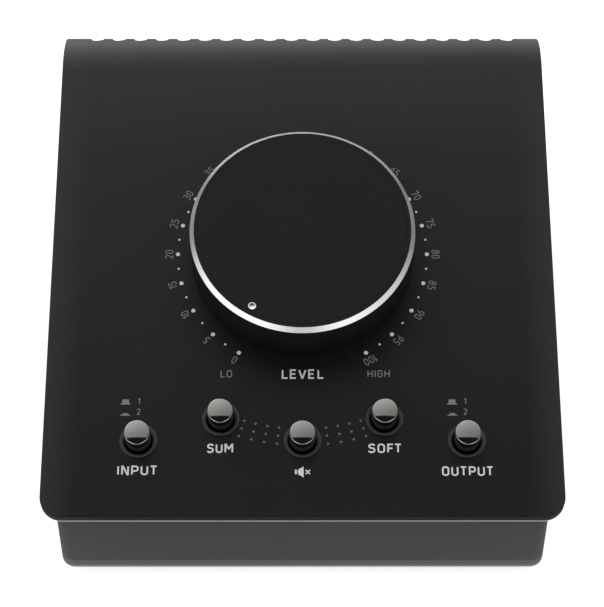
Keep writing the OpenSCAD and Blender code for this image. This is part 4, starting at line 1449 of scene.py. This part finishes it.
@dataclass
class JackSockets:
    """Eight quarter-inch sockets: nuts, washers and contact springs, and the bodies' finish."""

    xs: tuple[float, ...] = (39.0, 19.5, 0.0, -19.5)
    zs: tuple[float, ...] = (30.5, 13.0)
    washer_t: float = 0.5
    nut_t: float = 2.0
    across: float = 13.0
    hole_r: float = 4.8
    bore_r: float = 3.25
    nut_edge: float = 0.22
    washer_edge: float = 0.1
    # Nuts are tightened by hand, so each ends at a turn of its own, in radians
    turn_step: float = 0.35
    # The bore's mouth stands this far out of the panel's outer face
    mouth: float = 3.0
    spring_w: float = 1.6
    spring_t: float = 0.2

    def build(self) -> None:
        """Makes the nuts, washers and springs, and dresses the bodies."""
        nuts, washers, springs = [], [], []
        inner, outer, thick = self.hole_r, self.across / 2, self.washer_t
        for number, (x, z) in enumerate((x, z) for z in self.zs for x in self.xs):
            turn = self.turn_step * (number * number % 7)
            nut = hexagon_nut(self.across, self.nut_t, inner, self.nut_edge)
            nuts.append((nut, facing_back(x, PANEL_Y + thick, z, turn)))
            washer = spin_solid([(inner, 0), (outer, 0), (outer, thick), (inner, thick)], steps=48)
            round_edges(washer, self.washer_edge, segments=2, angle=40.0)
            washers.append((washer, facing_back(x, PANEL_Y, z)))
            springs.append((self.spring(), facing_back(x, PANEL_Y + self.mouth, z, math.pi / 2)))
        for name, parts, node in (
            ("jack_hexagon_nuts", nuts, "jack_nuts"), ("jack_flat_washers", washers, "jack_washers"),
        ):
            make_piece(name, join(parts), ("nickel_steel",), IN_PLACE, replaces=(node,))
        make_piece("jack_contact_springs", join(springs), ("contact_bronze",), IN_PLACE, "nickel_steel")
        for row in ("upper", "lower"):
            for i in range(1, 5):
                dress(f"jack_{row}_{i}", "jack_plastic")

    def spring(self) -> BMesh:
        """Makes a bent contact leaf that lies against the wall of the bore, its bow towards the axis.

        Returns:
            The leaf.
        """
        bm = bmesh.new()
        # Depth in the bore and distance from its wall
        leaf = ((-26.0, 0.12), (-14.0, 0.12), (-11.5, 1.0), (-9.5, 1.0), (-7.0, 0.12))
        edges = wire(bm, [(-self.spring_w / 2, -self.bore_r + y, z) for z, y in leaf])[1]
        made = bmesh.ops.extrude_edge_only(bm, edges=edges)
        bmesh.ops.translate(bm, verts=corners(made), vec=(self.spring_w, 0, 0))
        bmesh.ops.recalc_face_normals(bm, faces=bm.faces)
        bmesh.ops.solidify(bm, geom=bm.faces[:], thickness=self.spring_t)
        return bm


@dataclass
class SmallHardware:
    """Screws, the power inlet and the parts inside, in their finishes."""

    panel_screw_edge: float = 0.15
    cover_screw_edge: float = 0.1
    inlet_edge: float = 0.12

    def build(self) -> None:
        """Makes softened copies of what shows and dresses what stays inside."""
        for node, slot, width in (
            ("panel_screws", "black_steel", self.panel_screw_edge),
            ("cover_screws", "zinc_steel", self.cover_screw_edge),
            ("inlet_body", "socket_plastic", self.inlet_edge),
        ):
            bm = softened(node, width, segments=2, angle=40.0)
            make_piece(f"{node}_finished", bm, (slot,), replaces=(node,))
        inside = {
            "board_laminate": ("control_board", "jack_board"),
            "nickel_steel": ("control_spacers", "pot_washer", "pot_nut", "inlet_nut"),
            "zinc_steel": ("control_screws",),
            "chip_plastic": ("amp_chips", "regulator"),
            "capacitor_sleeve": ("capacitors",),
            "cable_plastic": ("ribbon_cable",),
            "socket_plastic": ("ribbon_socket_top", "ribbon_socket_rear"),
            "pot_steel": ("pot_body",),
            "bushing_brass": ("pot_bushing",),
            "lead_plastic": ("inlet_leads",),
        }
        for slot, nodes in inside.items():
            for node in nodes:
                dress(node, slot)


# ------------------------------------------------------------------ studio


@dataclass
class Studio:
    """Camera, floor, lamp and surroundings, all plain and pale."""

    # The camera: place in millimetres, focal length and sensor in millimetres, and its three angles
    eye: Point = (-0.6652, -348.7649, 438.0087)
    lens: float = 129.085
    sensor: float = 36.0
    elevation: float = math.radians(49.787)
    azimuth: float = math.radians(0.097)
    roll: float = math.radians(0.064)
    # Half the floor's side in metres, its colour and how much it shines to the camera alone
    floor_size: float = 20.0
    floor_color: RGB = grey(0.92)
    floor_glow: float = 0.68
    # Light that falls on everything, and the darkest that shiny things reflect
    ambient: float = 0.72
    dark: float = 0.02
    # Where the reflected ceiling ends and the low front panel starts, leaning forwards from straight up,
    # how soft their edges are, and how bright the front panel is
    ceiling_edge: float = math.radians(1.5)
    front_edge: float = math.radians(76.0)
    soft: float = math.radians(0.6)
    low_front: float = 0.78
    # The back wall grows darker up to the ceiling, with a brighter strip at its foot, and to the right
    wall: Span = (math.radians(-60.0), math.radians(-4.0), 1.8, 0.54)
    horizon: Span = (math.radians(-84.0), math.radians(-72.0), 0.3, 0.0)
    leftward: Span = (-0.4, 0.4, 1.3, 0.7)
    # The front panel's upper edge climbs in two steps towards the sides
    climbs: tuple[Span, ...] = ((0.15, 0.5, 0.0, math.radians(38.0)), (0.75, 0.95, 0.0, math.radians(38.0)))
    # It grows brighter to both sides, and darker again at the far right
    front_sides: Span = (0.1, 0.45, 1.0, 1.7)
    front_right: Span = (0.55, 0.97, 1.0, 0.5)
    # Dark zones at both sides: wider low down, and only towards the back
    side_foot: Span = (0.3, 0.55, 0.26, 0.0)
    side_dark: Span = (0.62, 0.9, 0.0, 0.95)
    side_back: Span = (-0.2, 0.27, 0.0, 1.0)

    def build(self) -> None:
        """Sets up the whole studio."""
        bpy.context.scene.view_settings.view_transform = "Standard"
        self.camera()
        self.floor()
        self.world()
        self.lamp("key_light", spot=(-0.3, 0.5, 1.2), aim=(0.0, 0.0, 0.03), size=(1.0, 0.7), power=2.5)

    def camera(self) -> None:
        """Makes the camera at the photograph's place and angle."""
        e, az, ro = self.elevation, self.azimuth, self.roll
        look = Vector((math.sin(az) * math.cos(e), math.cos(az) * math.cos(e), -math.sin(e)))
        right = Vector((math.cos(az), -math.sin(az), 0.0))
        up = right.cross(look)
        side = right * math.cos(ro) + up * math.sin(ro)
        top = -right * math.sin(ro) + up * math.cos(ro)
        turned = Matrix((side, top, -look)).transposed().to_4x4()
        data = bpy.data.cameras.new("camera")
        data.lens = self.lens
        data.sensor_width = self.sensor
        data.clip_start = 0.01
        camera = into_scene("camera", data)
        camera.matrix_world = Matrix.Translation(Vector(self.eye) * MM) @ turned
        bpy.context.scene.camera = camera

    def floor(self) -> None:
        """Makes the pale floor, which keeps the object's shadow."""
        bm = bmesh.new()
        bmesh.ops.create_grid(bm, x_segments=1, y_segments=1, size=self.floor_size)
        mesh = to_mesh("floor", bm)
        material = bpy.data.materials.new("pale_floor")
        material.use_nodes = True
        mesh.materials.append(material)
        g = Graph(material.node_tree)
        shader = g.fill(
            g.tree.nodes["Principled BSDF"], Base_Color=(*self.floor_color, 1.0), Roughness=0.9,
            Specular_IOR_Level=0.0,
        )
        seen = g.add("ShaderNodeLightPath").outputs["Is Camera Ray"]
        glow = g.add("ShaderNodeEmission", Strength=g.math("MULTIPLY", seen, self.floor_glow))
        both = g.add("ShaderNodeAddShader")
        g.feed(shader.outputs[0], both.inputs[0])
        g.feed(glow.outputs[0], both.inputs[1])
        g.fill(g.tree.nodes["Material Output"], Surface=both.outputs[0])
        floor = into_scene("floor", mesh)
        floor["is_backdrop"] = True

    def world(self) -> None:
        """Makes the surroundings: white to the eye, a pale ceiling and back wall to shiny things."""
        world = bpy.data.worlds.new("studio")
        world.use_nodes = True
        bpy.context.scene.world = world
        g = Graph(world.node_tree)
        shiny = g.math("ADD", self.panels(g), self.dark)
        path = g.add("ShaderNodeLightPath").outputs
        glossy = g.mix(path["Is Glossy Ray"], self.ambient, shiny)
        direct = g.math("MAXIMUM", path["Is Camera Ray"], path["Is Transmission Ray"])
        g.fill(g.tree.nodes["Background"], Color=(1.0, 1.0, 1.0, 1.0), Strength=g.mix(direct, glossy, 1.0))

    def panels(self, g: Graph) -> Socket:
        """Works out how bright the surroundings are in each direction, to shiny things.

        Args:
            g: The world's graph.

        Returns:
            The level.
        """
        place = g.add("ShaderNodeTexCoord").outputs["Generated"]
        x, y, z = g.add("ShaderNodeSeparateXYZ", Vector=place).outputs
        lean = g.math("ARCTAN2", g.math("MULTIPLY", y, -1.0), z)
        roof = g.span(lean, self.ceiling_edge - self.soft, self.ceiling_edge + self.soft, 1.0, 0.0)
        level = g.math("ADD", g.span(lean, *self.wall), g.span(lean, *self.horizon))
        out = g.math("ABSOLUTE", x)
        raised = lean
        for climb in self.climbs:
            raised = g.math("ADD", raised, g.span(out, *climb))
        front = g.span(raised, self.front_edge - self.soft, self.front_edge + self.soft, 0.0, self.low_front)
        front = g.math("MULTIPLY", front, g.span(out, *self.front_sides))
        front = g.math("MULTIPLY", front, g.span(x, *self.front_right))
        beside = g.span(g.math("ADD", out, g.span(z, *self.side_foot)), *self.side_dark)
        aside = g.math("SUBTRACT", 1.0, g.math("MULTIPLY", beside, g.span(y, *self.side_back)))
        back = g.math("MULTIPLY", roof, g.math("MULTIPLY", level, g.span(x, *self.leftward)))
        return g.math("MULTIPLY", g.math("ADD", back, front), aside)

    def lamp(self, name: str, spot: Point, aim: Point, size: tuple[float, float], power: float) -> None:
        """Makes a soft rectangular lamp.

        Args:
            name: Its name.
            spot: Its place, in metres.
            aim: The point that it faces, in metres.
            size: Its width and height, in metres.
            power: Its power, in watts.
        """
        data = bpy.data.lights.new(name, "AREA")
        data.shape = "RECTANGLE"
        data.size, data.size_y = size
        data.energy = power
        lamp = into_scene(name, data)
        lamp.visible_glossy = False
        turn = (Vector(spot) - Vector(aim)).to_track_quat("Z", "Y")
        lamp.matrix_world = Matrix.Translation(spot) @ turn.to_matrix().to_4x4()


# ------------------------------------------------------------------ all together


def as_lists(bounds: object) -> object:
    """Turns nested vectors into plain lists of numbers.

    Args:
        bounds: A number, or a vector or a nest of them.

    Returns:
        The number, or the list.
    """
    if isinstance(bounds, (int, float)):
        return float(bounds)
    return [as_lists(item) for item in bounds]


def main() -> None:
    """Builds every sub-assembly in order."""
    logging.basicConfig(level=logging.INFO, format="%(message)s")
    solid_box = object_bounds()
    Studio().build()
    Housing().build()
    RubberFeet().build()
    VolumeKnob().build()
    for name, u, v in BUTTONS:
        PushButton(name, u, v).build()
    DialPrint().build()
    ControlPrint().build()
    RearPrint().build()
    JackSockets().build()
    SmallHardware().build()
    {"solids": as_lists(solid_box), "looks": as_lists(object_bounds())}


if __name__ == "__main__":
    main()
